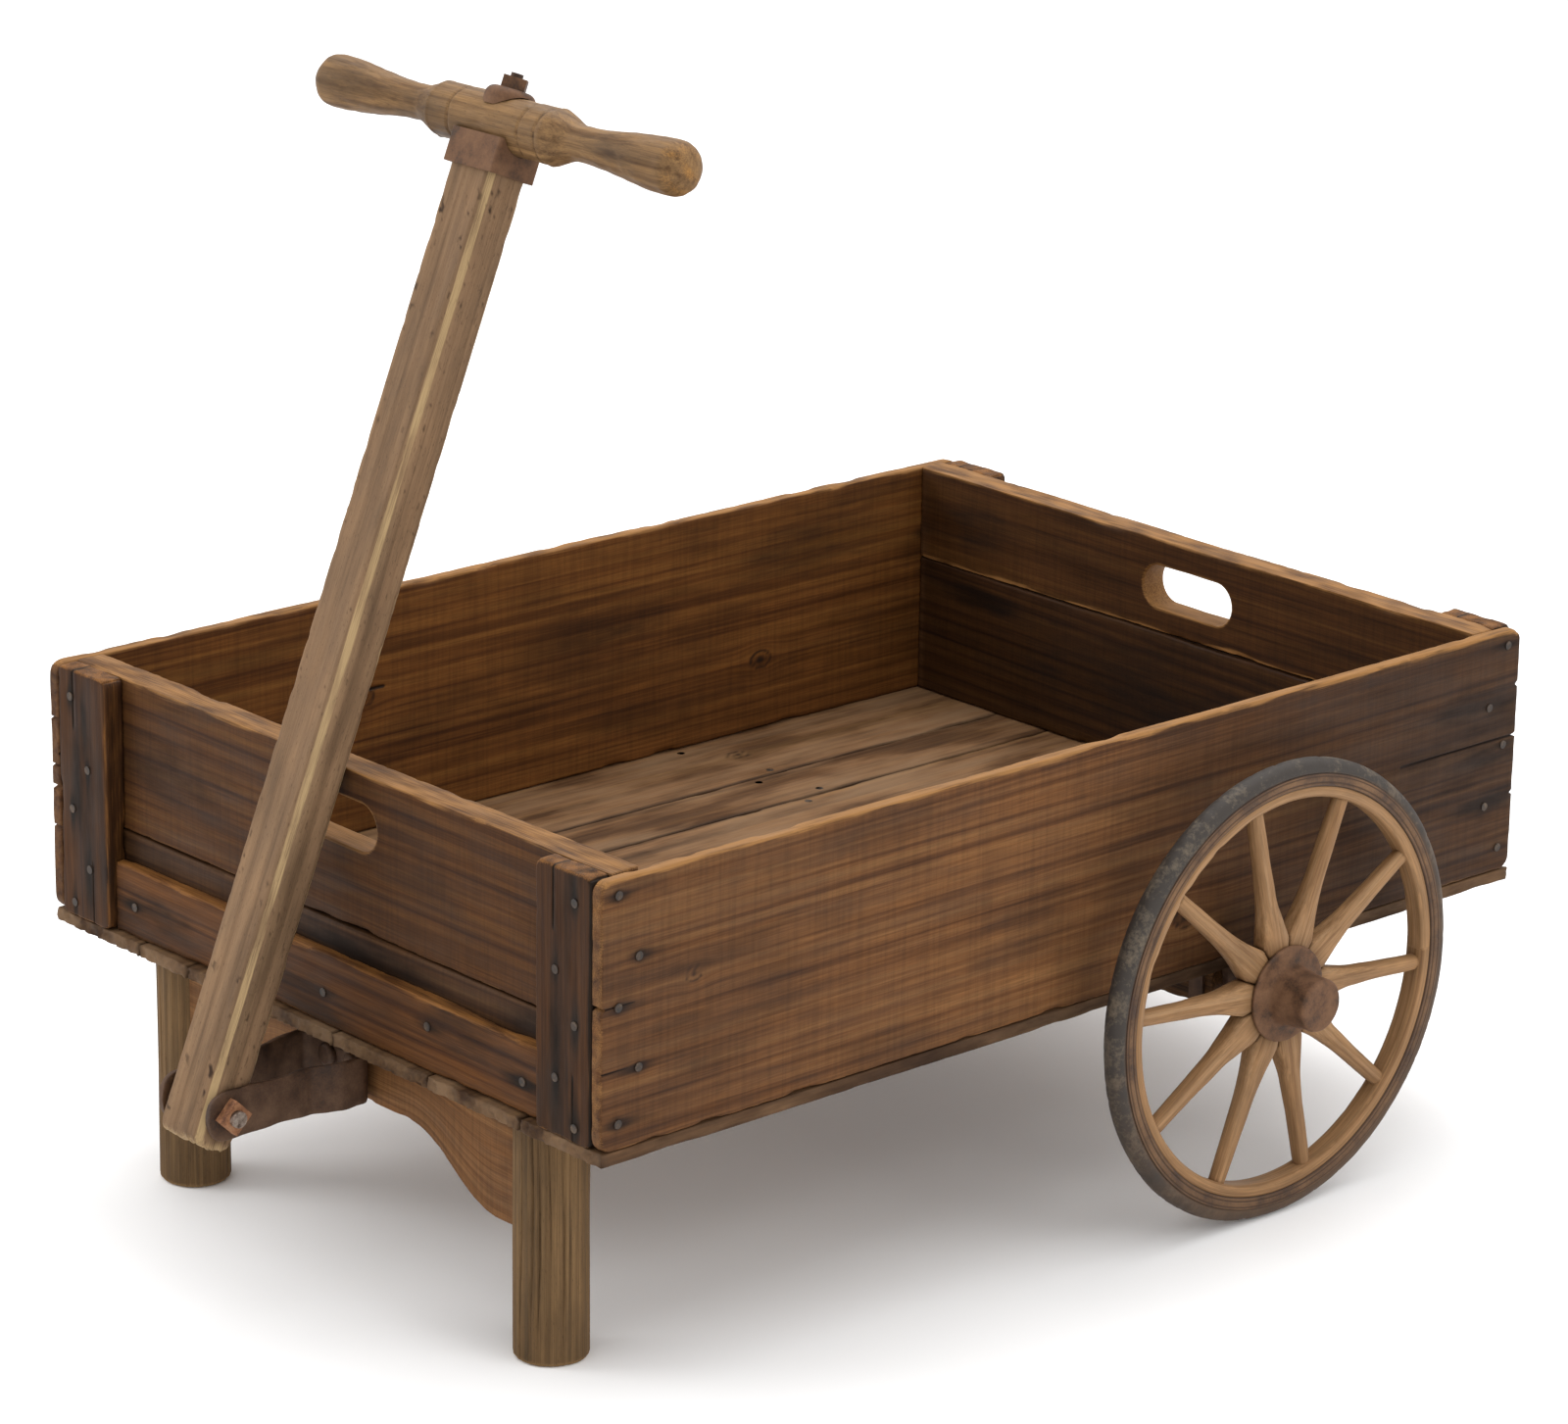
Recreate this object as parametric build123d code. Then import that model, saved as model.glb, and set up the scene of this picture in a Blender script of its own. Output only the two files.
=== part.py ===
from build123d import *
import math
import os

# Two-wheeled pull cart: a shallow board box on two spoked wheels and two peg legs,
# with a T-grip pole pivoted in an iron yoke. Millimetres, +Z up.
# X runs across the cart, Y from the pole end to the wheel end. The solids are drawn with
# Y = 0 at the front ends of the side boards, then moved so that the origin lies on the
# ground under the middle of the cart's outline.

# ---- Box ------------------------------------------------------------------------------
BOX_WIDTH = 640.0          # outside of one side board to outside of the other
BOX_LENGTH = 921.0
SIDE_HEIGHT = 195.0
SIDE_THICK = 10.5
SIDE_CORNER_R = 10.0       # worn corners of the side boards
END_THICK = 24.0
FRONT_LOWER_H = 76.0       # lower of the two stacked boards at the pole end
REAR_LOWER_H = 116.0
BOARD_GAP = 0.8            # open seam between neighbouring boards
EDGE_WEAR = 2.0            # rounded arrises

CLEAT_WIDTH = 60.0
CLEAT_THICK = 18.0
BATTEN_THICK = 11.5
BATTEN_HEIGHT = 55.0

HAND_HOLE_LENGTH = 98.0
HAND_HOLE_HEIGHT = 36.0
HAND_HOLE_DROP = 40.5      # box top down to the middle of the hole
HAND_HOLE_X = 4.0

FLOOR_THICK = 10.0
# Seams between the floor boards, as shares of the half width
FLOOR_SEAMS = (-0.665625, -0.478125, -0.275, 0.06875, 0.40625, 0.725)

# ---- Wheels and axle ------------------------------------------------------------------
WHEEL_R = 178.0
WHEEL_STAND_OFF = 40.0     # side board to the wheel's mid-plane
WHEEL_FROM_REAR = 301.0    # rear end of the box to the axle
SPOKE_COUNT = 10
SPOKE_PHASE = 103.0        # degrees from +Y to the first spoke of the right wheel
FELLOE_DEPTH = 9.0
FELLOE_WIDTH = 18.0
FELLOE_SOFT = 2.0          # worn inner corners
RIM_WIDTH = 20.0
RIM_WALL = 2.5
RIM_DEPTH = 9.4            # over the flanges of the channel
TYRE_WIDTH = 18.0
TYRE_PROUD = 10.6          # tread beyond the channel's flanges
TYRE_CROWN = 8.0           # tread beyond the tyre's widest line

AXLE_SIDE = 16.0           # square bar
AXLE_COLLAR_RISE = 6.0     # collar beyond the spindle
AXLE_COLLAR_LENGTH = 11.0
AXLE_OVERHANG = 2.0        # square bar beyond the side board
RUNNING_FIT = 0.05         # radial clearance of each bearing
SIDE_PLAY = 0.3            # clearance between faces that slide
BED_INSET = 8.0            # side board back to the end of the bed
BED_DEPTH = 40.0
BED_HEIGHT = 33.0
CLIP_WIDTH = 14.0
CLIP_THICK = 3.0
CLIP_FOOT = 14.0
CLIP_INSET = 14.0          # bed end to the middle of the clip

HUB_FLANGE_R = 37.0
HUB_PLATE = 3.0
HUB_LIP = 6.0              # flat rim of the plate outside the nose's flare
BUSH_WALL = 4.0
BUSH_OUT = 24.0            # bush length outboard of the mid-plane
HUB_SLEEVE_WALL = 6.0
HUB_SLEEVE_LENGTH = 15.0
NOSE_WALL = 5.5
NOSE_END = 4.5
NOSE_LENGTH = 44.5         # mid-plane to the closed end
NOSE_CLEARANCE = 2.0       # round the washer
NOSE_FLARE = (6.0, 4.5)    # a point of the flare: out from the plate, beyond the nose
NOSE_STRAIGHT = 9.0        # straight end of the nose
NOSE_CHAMFER = 3.0
SPOKE_HUB_THICK = 16.0
SPOKE_TIP_D = 12.6
TENON_D = 9.0
TENON_START = 0.9          # share of the felloe's inner radius
# Swellings of a spoke: share of the felloe's inner radius, then width and thickness
# beyond the tip
SPOKE_WAIST = (0.67, 1.4, 0.8)
SPOKE_FLARE = (0.48, 6.8, 1.9)
SPOKE_ROOT_AT = 0.31
SPOKE_ROOT_SHARES = (0.78, 0.95)    # root widths, as shares of the hub plate's radius
WASHER_THICK = 1.2
WASHER_RISE = 5.0          # washer beyond the spindle
AXLE_NUT_WALL = 2.0        # thinnest wall of the nut
AXLE_NUT_H = 9.5
AXLE_PROUD = 1.5           # spindle beyond the nut

# ---- Legs and brace -------------------------------------------------------------------
LEG_D = 55.0
LEG_SHARE = 0.659375       # leg's axis, as a share of the half width
LEG_Y = 47.0
LEG_FOOT_R = 4.0
BRACE_LEAD = 17.0          # leg's axis forward to the brace's front face
BRACE_THICK = 20.0
BRACE_MID_H = 48.0
BRACE_END_H = 92.0
BRACE_FLAT_HALF = 72.0     # half length of the straight stretch under the middle
BRACE_HOUSING = 8.5        # depth of the flat cut in the leg for the brace's end
# Points of the brace's curve, as shares of its reach and of its fall
BRACE_CURVE = ((0.40, 0.45), (0.62, 0.84))

# ---- Yoke and pivot -------------------------------------------------------------------
YOKE_HEIGHT = 37.0
YOKE_THICK = 5.0
YOKE_SPREAD = 7.7          # how much wider each side is at the brace
YOKE_NECK_START = 55.0     # brace face to where the arms begin to close in
YOKE_NECK_LENGTH = 26.0
YOKE_BOLT_X = 14.0
YOKE_BOLT_LIFT = 3.0
YOKE_BOLT_R = 4.5
PIVOT_REACH = 112.8        # front board face forward to the pivot
PIVOT_DROP = 26.0          # floor's underside down to the pivot
PIVOT_R = 6.0
PIVOT_NUT_WALL = 3.5
PIVOT_NUT_H = 7.0
PIVOT_HEAD_H = 5.0
PIVOT_PROUD = 4.2          # bolt beyond its nut

# ---- Pole and grip --------------------------------------------------------------------
POLE_WIDTH = 50.0
POLE_DEPTH = 36.0
POLE_CHAMFER = 5.0
POLE_FOOT = 28.0           # pivot down to the foot
GRIP_REACH = 720.0         # pivot up to the grip's axis
GRIP_LENGTH = 406.0
GRIP_BARREL_R = 20.5
GRIP_NECK_R = 13.3
GRIP_BULB_R = 20.0
GRIP_NECK_SHARE = 0.43     # thinnest place, as a share of the half length
GRIP_COLLAR = 6.0          # outer groove to where the barrel begins to narrow
GRIP_FULLNESS = 0.3        # swell of the bulb's flank beyond a straight line
GRIP_GROOVES = (38.7, 57.0)
GROOVE_DEPTH = 1.2
FERRULE_WALL = 2.5
FERRULE_BELOW = 15.5       # grip's underside down to the ferrule's lower edge
FERRULE_LAP = 9.5          # ferrule's upper edge above the grip's underside
ROD_R = 4.5
ROD_DEPTH = 90.0           # rod length held below the grip's axis
GRIP_WASHER_R = 18.5
GRIP_WASHER_THICK = 4.0    # over the top of the grip
GRIP_SADDLE = 0.5          # saddle's lower edge, as a share of the barrel's radius
GRIP_WASHER_DOME = 0.7     # rounding, as a share of the washer's rim outside the nut
GRIP_NUT_WALL = 4.0
GRIP_NUT_H = 8.5
ROD_PROUD = 3.0

# ---- Fasteners ------------------------------------------------------------------------
NAIL_R = 1.5
NAIL_HEAD_R = 3.2
NAIL_HEAD_T = 1.6
NAIL_PROUD = 0.8
CLEAT_NAIL_LENGTH = 35.0
CLEAT_NAIL_HEIGHTS = (0.06, 0.22, 0.44, 0.62, 0.89)    # shares of the board's height
CLEAT_NAIL_ACROSS = (0.38, 0.72)                      # shares of the cleat's width
SIDE_NAIL_LENGTH = 38.0
SIDE_NAIL_HEIGHTS = (0.10, 0.29, 0.53, 0.70, 0.94)
SIDE_NAIL_SHARES = (5 / 6, 0.625)   # of the thickness of the cleat and of the end board
BATTEN_NAIL_LENGTH = 28.0
BATTEN_NAILS = (-0.90, -0.42, 0.02, 0.50, 0.92)         # shares of the batten's half length
BATTEN_NAIL_HEIGHTS = (0.45, 0.62)                      # shares of the batten's height
FLOOR_NAIL_LENGTH = 30.0
FLOOR_NAIL_INSET = 9.0
HEAD_DOME = 0.8            # rounding of a bolt head, as a share of its height
BOLT_NUT_AF = 3.6          # nut across flats and height, in bolt radii
BOLT_NUT_H = 1.6
SCREW_R = 2.5
SCREW_HEAD_R = 5.0
SCREW_HEAD_T = 2.5
SCREW_LENGTH = 50.0
SCREW_SPREAD = 10.0
SCREW_BACK = 3.0           # end board's inner face back to the screw head's edge

# ---- Worked out from the above --------------------------------------------------------
HALF = BOX_WIDTH / 2
INSIDE = HALF - SIDE_THICK
SEAM_X = [share * HALF for share in FLOOR_SEAMS]
WHEEL_X = HALF + WHEEL_STAND_OFF
WHEEL_Y = BOX_LENGTH - WHEEL_FROM_REAR
FLOOR_UNDER = WHEEL_R + AXLE_SIDE / 2
FLOOR_TOP = FLOOR_UNDER + FLOOR_THICK
BOX_TOP = FLOOR_TOP + SIDE_HEIGHT
FRONT_FACE = CLEAT_THICK
REAR_FACE = BOX_LENGTH - CLEAT_THICK
LEG_R = LEG_D / 2
LEG_X = LEG_SHARE * HALF
BRACE_Y = LEG_Y - BRACE_LEAD
BRACE_HALF = LEG_X - LEG_R + BRACE_HOUSING
SPINDLE_R = AXLE_SIDE / 2
AXLE_SQUARE_HALF = HALF + AXLE_OVERHANG
COLLAR_END = AXLE_SQUARE_HALF + AXLE_COLLAR_LENGTH
AXLE_NUT_AF = 2 * (SPINDLE_R + AXLE_NUT_WALL)
BED_HALF = HALF - BED_INSET
RIM_R = WHEEL_R - TYRE_PROUD
FELLOE_OUTER_R = RIM_R - RIM_DEPTH
FELLOE_INNER_R = FELLOE_OUTER_R - FELLOE_DEPTH
BUSH_R = SPINDLE_R + BUSH_WALL
NOSE_CAVITY_R = SPINDLE_R + WASHER_RISE + NOSE_CLEARANCE
NOSE_R = NOSE_CAVITY_R + NOSE_WALL
PIVOT_Y = FRONT_FACE - PIVOT_REACH
PIVOT_Z = FLOOR_UNDER - PIVOT_DROP
PIVOT_NUT_AF = 2 * (PIVOT_R + PIVOT_NUT_WALL)
YOKE_NECK_HALF = POLE_WIDTH / 2 + SIDE_PLAY
YOKE_ROOT_HALF = YOKE_NECK_HALF + YOKE_SPREAD
ARM_OUTSIDE = YOKE_NECK_HALF + YOKE_THICK
GRIP_UNDER = GRIP_REACH - GRIP_BARREL_R
GRIP_WASHER_TOP = GRIP_BARREL_R + GRIP_WASHER_THICK
GRIP_NUT_AF = 2 * (ROD_R + GRIP_NUT_WALL)

UP = (0, 0, 1)
BACK = (0, 1, 0)
RIGHT = (1, 0, 0)


def block(x0, x1, y0, y1, z0, z1):
    """Box between two corners."""
    size = Box(x1 - x0, y1 - y0, z1 - z0)
    return Pos((x0 + x1) / 2, (y0 + y1) / 2, (z0 + z1) / 2) * size


def rod(start, direction, radius, length):
    """Cylinder that leaves start along direction."""
    stock = Cylinder(radius, length, align=(Align.CENTER, Align.CENTER, Align.MIN))
    return Plane(origin=start, z_dir=direction) * stock


def nut(start, direction, across_flats, height, sides, bore):
    """Square or hexagonal nut with a plain bore."""
    outline = RegularPolygon(across_flats / 2, sides, major_radius=False)
    blank = extrude(outline, height) - Pos(0, 0, height / 2) * Cylinder(bore, height)
    return Plane(origin=start, z_dir=direction) * blank


def turned(outline):
    """Solid of revolution about X of a closed outline in the XY plane."""
    return revolve(make_face(outline), Axis.X)


def board(x0, x1, y0, y1, z0, z1, grain):
    """Plank whose four long arrises are worn round; grain is its length's axis."""
    plank = block(x0, x1, y0, y1, z0, z1)
    return fillet(plank.edges().filter_by(grain), EDGE_WEAR)


def nail(point, direction, length, proud=NAIL_PROUD):
    """Round-headed cut nail driven from point; its head stands proud of the wood."""
    axis = Vector(*direction)
    head_start = Vector(*point) - axis * proud
    head = rod(head_start, direction, NAIL_HEAD_R, NAIL_HEAD_T)
    return head + rod(head_start, direction, NAIL_R, length)


def screw(point):
    """Flush wood screw driven down from point."""
    down = (0, 0, -1)
    return rod(point, down, SCREW_HEAD_R, SCREW_HEAD_T) + rod(point, down, SCREW_R, SCREW_LENGTH)


def meets(one, other):
    """True when two solids' boxes overlap."""
    a, b = one.bounding_box(), other.bounding_box()
    pairs = zip(a.min, a.max, b.min, b.max)
    return all(a0 < b1 and b0 < a1 for a0, a1, b0, b1 in pairs)


def drilled(wood, fasteners):
    """Wood with the hole of every fastener that reaches it."""
    for fastener in fasteners:
        if meets(wood, fastener):
            wood = wood - fastener
    return wood


# ---- Box ------------------------------------------------------------------------------
def side_board(side):
    outer, inner = side * HALF, side * INSIDE
    low, high = min(outer, inner), max(outer, inner)
    plank = block(low, high, 0, BOX_LENGTH, FLOOR_TOP, BOX_TOP)
    plank = fillet(plank.edges().filter_by(Axis.X), SIDE_CORNER_R)
    rims = plank.faces().filter_by(Axis.X)
    return fillet(rims.edges(), min(EDGE_WEAR, SIDE_THICK / 3))


def hand_hole():
    slot = SlotOverall(HAND_HOLE_LENGTH, HAND_HOLE_HEIGHT)
    bar = extrude(Plane.XZ * slot, BOX_LENGTH, both=True)
    return Pos(HAND_HOLE_X, 0, BOX_TOP - HAND_HOLE_DROP) * bar


def end_boards():
    """Two stacked boards at each end; the upper ones have the hand holes."""
    ends = {
        "front": (FRONT_FACE, FRONT_FACE + END_THICK, FRONT_LOWER_H),
        "rear": (REAR_FACE - END_THICK, REAR_FACE, REAR_LOWER_H),
    }
    made = {}
    for end, (y0, y1, lower_height) in ends.items():
        joint = FLOOR_TOP + lower_height
        made[f"{end}_board_lower"] = board(-INSIDE, INSIDE, y0, y1, FLOOR_TOP, joint, Axis.X)
        upper = board(-INSIDE, INSIDE, y0, y1, joint + BOARD_GAP, BOX_TOP, Axis.X)
        made[f"{end}_board_upper"] = upper - hand_hole()
    return made


def cleats():
    """Upright strips in the four corners and a low batten across each end."""
    made = {}
    ends = {"front": (0, FRONT_FACE), "rear": (REAR_FACE, BOX_LENGTH)}
    for end, (y0, y1) in ends.items():
        for name, side in (("left", -1), ("right", 1)):
            edges = sorted((side * INSIDE, side * (INSIDE - CLEAT_WIDTH)))
            strip = board(*edges, y0, y1, FLOOR_TOP, BOX_TOP, Axis.Z)
            made[f"{end}_cleat_{name}"] = strip
        against = y1 if end == "front" else y0
        away = against - BATTEN_THICK if end == "front" else against + BATTEN_THICK
        half = INSIDE - CLEAT_WIDTH
        low, high = min(against, away), max(against, away)
        top = FLOOR_TOP + BATTEN_HEIGHT
        made[f"{end}_batten"] = board(-half, half, low, high, FLOOR_TOP, top, Axis.X)
    return made


def floor_boards():
    """Lengthwise boards of uneven width under the box."""
    seams = [-HALF, *SEAM_X, HALF]
    made = {}
    for number, (left, right) in enumerate(zip(seams, seams[1:]), start=1):
        x0 = left if number == 1 else left + BOARD_GAP / 2
        x1 = right if number == len(seams) - 1 else right - BOARD_GAP / 2
        plank = block(x0, x1, 0, BOX_LENGTH, FLOOR_UNDER, FLOOR_TOP)
        made[f"floor_board_{number}"] = plank
    return made


# ---- Legs and brace -------------------------------------------------------------------
def brace():
    """Apron between the legs, cut to a cyma curve at each end of a straight middle."""
    end_x = BRACE_HALF
    mid_z = FLOOR_UNDER - BRACE_MID_H
    end_z = FLOOR_UNDER - BRACE_END_H
    reach = end_x - BRACE_FLAT_HALF
    fall = mid_z - end_z
    shares = ((0, 0), *BRACE_CURVE, (1, 1))
    curve = [(BRACE_FLAT_HALF + out * reach, mid_z - down * fall) for out, down in shares]
    level = ((1, 0), (1, 0))
    lower = Spline(*curve, tangents=level)
    sides = Polyline((end_x, end_z), (end_x, FLOOR_UNDER), (0, FLOOR_UNDER), (0, mid_z),
                     (BRACE_FLAT_HALF, mid_z))
    half = make_face(lower + sides)
    outline = half + mirror(half, Plane.YZ)
    apron = extrude(Plane.XZ * outline, -BRACE_THICK)
    return Pos(0, BRACE_Y, 0) * apron


def leg(side):
    """Round peg with a flat that houses the end of the brace."""
    peg = rod((side * LEG_X, LEG_Y, 0), UP, LEG_R, FLOOR_UNDER)
    peg = fillet(peg.edges().sort_by(Axis.Z)[0], LEG_FOOT_R)
    inner, flat = side * (LEG_X - LEG_D), side * BRACE_HALF
    low, high = min(inner, flat), max(inner, flat)
    seat_z = FLOOR_UNDER - BRACE_END_H
    seat = block(low, high, BRACE_Y, BRACE_Y + BRACE_THICK, seat_z, FLOOR_UNDER)
    return peg - seat


# ---- Yoke and pivot -------------------------------------------------------------------
def yoke_outline(offset, tip_y):
    """Half of the bent strip's inner or outer line, from the tip to the middle of the root."""
    root_y = BRACE_Y - YOKE_THICK + offset
    neck_far = BRACE_Y - YOKE_NECK_START
    neck_near = neck_far + YOKE_NECK_LENGTH
    points = [
        (0, tip_y),
        (YOKE_NECK_HALF + offset, tip_y),
        (YOKE_NECK_HALF + offset, neck_far),
        (YOKE_ROOT_HALF + offset, neck_near),
        (YOKE_ROOT_HALF + offset, root_y),
        (0, root_y),
    ]
    face = make_face(Polyline(*points, close=True))
    bends = [v for v in face.vertices() if v.X > 1 and v.Y > tip_y + 1]
    return fillet(bends, YOKE_THICK + offset)


def yoke():
    """Iron strip bent to a U round the pole's foot and bolted to the brace."""
    tip_y = PIVOT_Y - YOKE_HEIGHT / 2
    half = yoke_outline(YOKE_THICK, tip_y) - yoke_outline(0, tip_y - 1)
    plan = half + mirror(half, Plane.YZ)
    strip = Pos(0, 0, PIVOT_Z - YOKE_HEIGHT / 2) * extrude(plan, YOKE_HEIGHT)
    arm_length = BRACE_Y - PIVOT_Y
    side_view = rod((-BOX_WIDTH, PIVOT_Y, PIVOT_Z), RIGHT, YOKE_HEIGHT / 2, 2 * BOX_WIDTH)
    side_view += block(-HALF, HALF, PIVOT_Y, PIVOT_Y + arm_length,
                       PIVOT_Z - YOKE_HEIGHT / 2, PIVOT_Z + YOKE_HEIGHT / 2)
    return strip & side_view


def yoke_fastening():
    """Two bolts through the yoke's root and the brace, heads inside the yoke."""
    bolts, nuts = [], []
    root_face = BRACE_Y - YOKE_THICK
    brace_back = BRACE_Y + BRACE_THICK
    for side in (-1, 1):
        x, z = side * YOKE_BOLT_X, PIVOT_Z + YOKE_BOLT_LIFT
        grip = BRACE_THICK + YOKE_THICK + 2 * YOKE_BOLT_R
        shank = rod((x, root_face, z), BACK, YOKE_BOLT_R, grip)
        head = rod((x, root_face - YOKE_BOLT_R, z), BACK, 2 * YOKE_BOLT_R, YOKE_BOLT_R)
        head = fillet(head.edges().sort_by(Axis.Y)[0], YOKE_BOLT_R * HEAD_DOME)
        bolts.append(head + shank)
        flats, height = BOLT_NUT_AF * YOKE_BOLT_R, BOLT_NUT_H * YOKE_BOLT_R
        nuts.append(nut((x, brace_back, z), BACK, flats, height, 4, YOKE_BOLT_R))
    return bolts, nuts


def pivot_fastening():
    """Bolt across the yoke arms and the nut on its right-hand end."""
    start = (-ARM_OUTSIDE - PIVOT_HEAD_H, PIVOT_Y, PIVOT_Z)
    head = rod(start, RIGHT, 2 * PIVOT_R, PIVOT_HEAD_H)
    head = fillet(head.edges().sort_by(Axis.X)[0], PIVOT_HEAD_H * HEAD_DOME)
    length = PIVOT_HEAD_H + 2 * ARM_OUTSIDE + PIVOT_NUT_H + PIVOT_PROUD
    bolt = head + rod(start, RIGHT, PIVOT_R, length)
    end_nut = nut((ARM_OUTSIDE, PIVOT_Y, PIVOT_Z), RIGHT, PIVOT_NUT_AF, PIVOT_NUT_H, 4, PIVOT_R)
    return bolt, end_nut


# ---- Pole and grip, drawn upright about the pivot -------------------------------------
def pole_lean():
    """Angle from upright at which the pole's back rests on the front board's top arris."""
    arris_y = FRONT_FACE + EDGE_WEAR - PIVOT_Y
    arris_z = BOX_TOP - EDGE_WEAR - PIVOT_Z
    stand_off = POLE_DEPTH / 2 + EDGE_WEAR + SIDE_PLAY
    line = math.atan2(arris_y, arris_z)
    return math.degrees(line - math.asin(stand_off / math.hypot(arris_y, arris_z)))


def pole_blank(z0, z1):
    bar = block(-POLE_WIDTH / 2, POLE_WIDTH / 2, -POLE_DEPTH / 2, POLE_DEPTH / 2, z0, z1)
    return chamfer(bar.edges().filter_by(Axis.Z), POLE_CHAMFER)


def barrel_seat():
    half = GRIP_LENGTH / 2
    return rod((-half, 0, GRIP_REACH), RIGHT, GRIP_BARREL_R, GRIP_LENGTH)


def pole():
    """Chamfered bar with a rounded foot, the pivot hole and a hollowed top for the grip."""
    bar = pole_blank(-POLE_FOOT, GRIP_UNDER + FERRULE_LAP)
    foot_edges = bar.edges().filter_by(Axis.X).sort_by(Axis.Z)[:2]
    bar = fillet(foot_edges, POLE_DEPTH / 4)
    hole_r = PIVOT_R + RUNNING_FIT
    bar -= rod((-POLE_WIDTH, 0, 0), RIGHT, hole_r, 2 * POLE_WIDTH)
    bar -= rod((0, 0, GRIP_REACH - ROD_DEPTH), UP, ROD_R, ROD_DEPTH)
    return bar - barrel_seat()


def ferrule():
    """Iron sleeve round the pole's top, its upper edge cut to the grip's barrel."""
    z0, z1 = GRIP_UNDER - FERRULE_BELOW, GRIP_UNDER + FERRULE_LAP
    half_x = POLE_WIDTH / 2 + FERRULE_WALL
    half_y = POLE_DEPTH / 2 + FERRULE_WALL
    sleeve = block(-half_x, half_x, -half_y, half_y, z0, z1)
    sleeve = fillet(sleeve.edges().filter_by(Axis.Z), FERRULE_WALL)
    return sleeve - pole_blank(z0 - 1, z1 + 1) - barrel_seat()


def grip():
    """Turned cross grip: barrel, beads, necks and bulbs."""
    half = GRIP_LENGTH / 2
    first, second = GRIP_GROOVES
    neck_x = GRIP_NECK_SHARE * half
    bulb_x = half - GRIP_BULB_R
    collar_x = second + GRIP_COLLAR
    cap = ThreePointArc((bulb_x, GRIP_BULB_R),
                        (bulb_x + GRIP_BULB_R * math.sin(math.pi / 4),
                         GRIP_BULB_R * math.cos(math.pi / 4)),
                        (half, 0))
    swell = Spline((neck_x, GRIP_NECK_R),
                   ((neck_x + bulb_x) / 2, (GRIP_NECK_R + GRIP_BULB_R) / 2 + GRIP_FULLNESS),
                   (bulb_x, GRIP_BULB_R), tangents=((1, 0), (1, 0)))
    shoulder = Spline((collar_x, GRIP_BARREL_R), (neck_x, GRIP_NECK_R),
                      tangents=((1, -0.4), (1, 0)))
    flat = Polyline((half, 0), (0, 0), (0, GRIP_BARREL_R), (collar_x, GRIP_BARREL_R))
    arm = turned(flat + shoulder + swell + cap)
    for groove_x in (first, second):
        ring = Pos(groove_x, GRIP_BARREL_R + GROOVE_DEPTH / 2) * Circle(1.5 * GROOVE_DEPTH)
        arm -= revolve(ring, Axis.X)
    turning = arm + mirror(arm, Plane.YZ)
    turning = Pos(0, 0, GRIP_REACH) * turning
    return turning - rod((0, 0, GRIP_REACH - GRIP_LENGTH / 2), UP, ROD_R, GRIP_LENGTH)


def grip_fastening():
    """Rod up through the grip with a domed saddle washer and a square nut."""
    washer_z = GRIP_REACH + GRIP_WASHER_TOP
    rod_length = ROD_DEPTH + GRIP_WASHER_TOP + GRIP_NUT_H + ROD_PROUD
    stud = rod((0, 0, GRIP_REACH - ROD_DEPTH), UP, ROD_R, rod_length)
    saddle_z = GRIP_REACH + GRIP_BARREL_R * GRIP_SADDLE
    washer = rod((0, 0, saddle_z), UP, GRIP_WASHER_R, washer_z - saddle_z)
    dome = GRIP_WASHER_DOME * (GRIP_WASHER_R - GRIP_NUT_AF / 2)
    washer = fillet(washer.edges().sort_by(Axis.Z)[-1], dome)
    washer = washer - barrel_seat() - rod((0, 0, GRIP_REACH), UP, ROD_R, GRIP_LENGTH)
    top_nut = nut((0, 0, washer_z), UP, GRIP_NUT_AF, GRIP_NUT_H, 4, ROD_R)
    return stud, washer, top_nut


# ---- Axle -----------------------------------------------------------------------------
def axle():
    """Square bar with a collar and a round spindle at each end."""
    centre = (0, WHEEL_Y, WHEEL_R)
    bar = Pos(*centre) * Box(2 * AXLE_SQUARE_HALF, AXLE_SIDE, AXLE_SIDE)
    collar_r = SPINDLE_R + AXLE_COLLAR_RISE
    spindle_end = WHEEL_X + BUSH_OUT + SIDE_PLAY + WASHER_THICK + AXLE_NUT_H + AXLE_PROUD
    collars = Pos(*centre) * Rot(0, 90, 0) * Cylinder(collar_r, 2 * (COLLAR_END - SIDE_PLAY))
    middle = block(-AXLE_SQUARE_HALF, AXLE_SQUARE_HALF, WHEEL_Y - LEG_D, WHEEL_Y + LEG_D, 0,
                   2 * WHEEL_R)
    spindles = Pos(*centre) * Rot(0, 90, 0) * Cylinder(SPINDLE_R, 2 * spindle_end)
    return bar + (collars - middle) + spindles


def axle_ends():
    """Washer and hexagon nut on each spindle."""
    washers, nuts = [], []
    for side in (-1, 1):
        out = (side, 0, 0)
        face = side * (WHEEL_X + BUSH_OUT + SIDE_PLAY)
        disc = rod((face, WHEEL_Y, WHEEL_R), out, SPINDLE_R + WASHER_RISE, WASHER_THICK)
        washers.append(disc - rod((face, WHEEL_Y, WHEEL_R), out, SPINDLE_R, WASHER_THICK))
        start = (face + side * WASHER_THICK, WHEEL_Y, WHEEL_R)
        nuts.append(nut(start, out, AXLE_NUT_AF, AXLE_NUT_H, 6, SPINDLE_R))
    return washers, nuts


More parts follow.
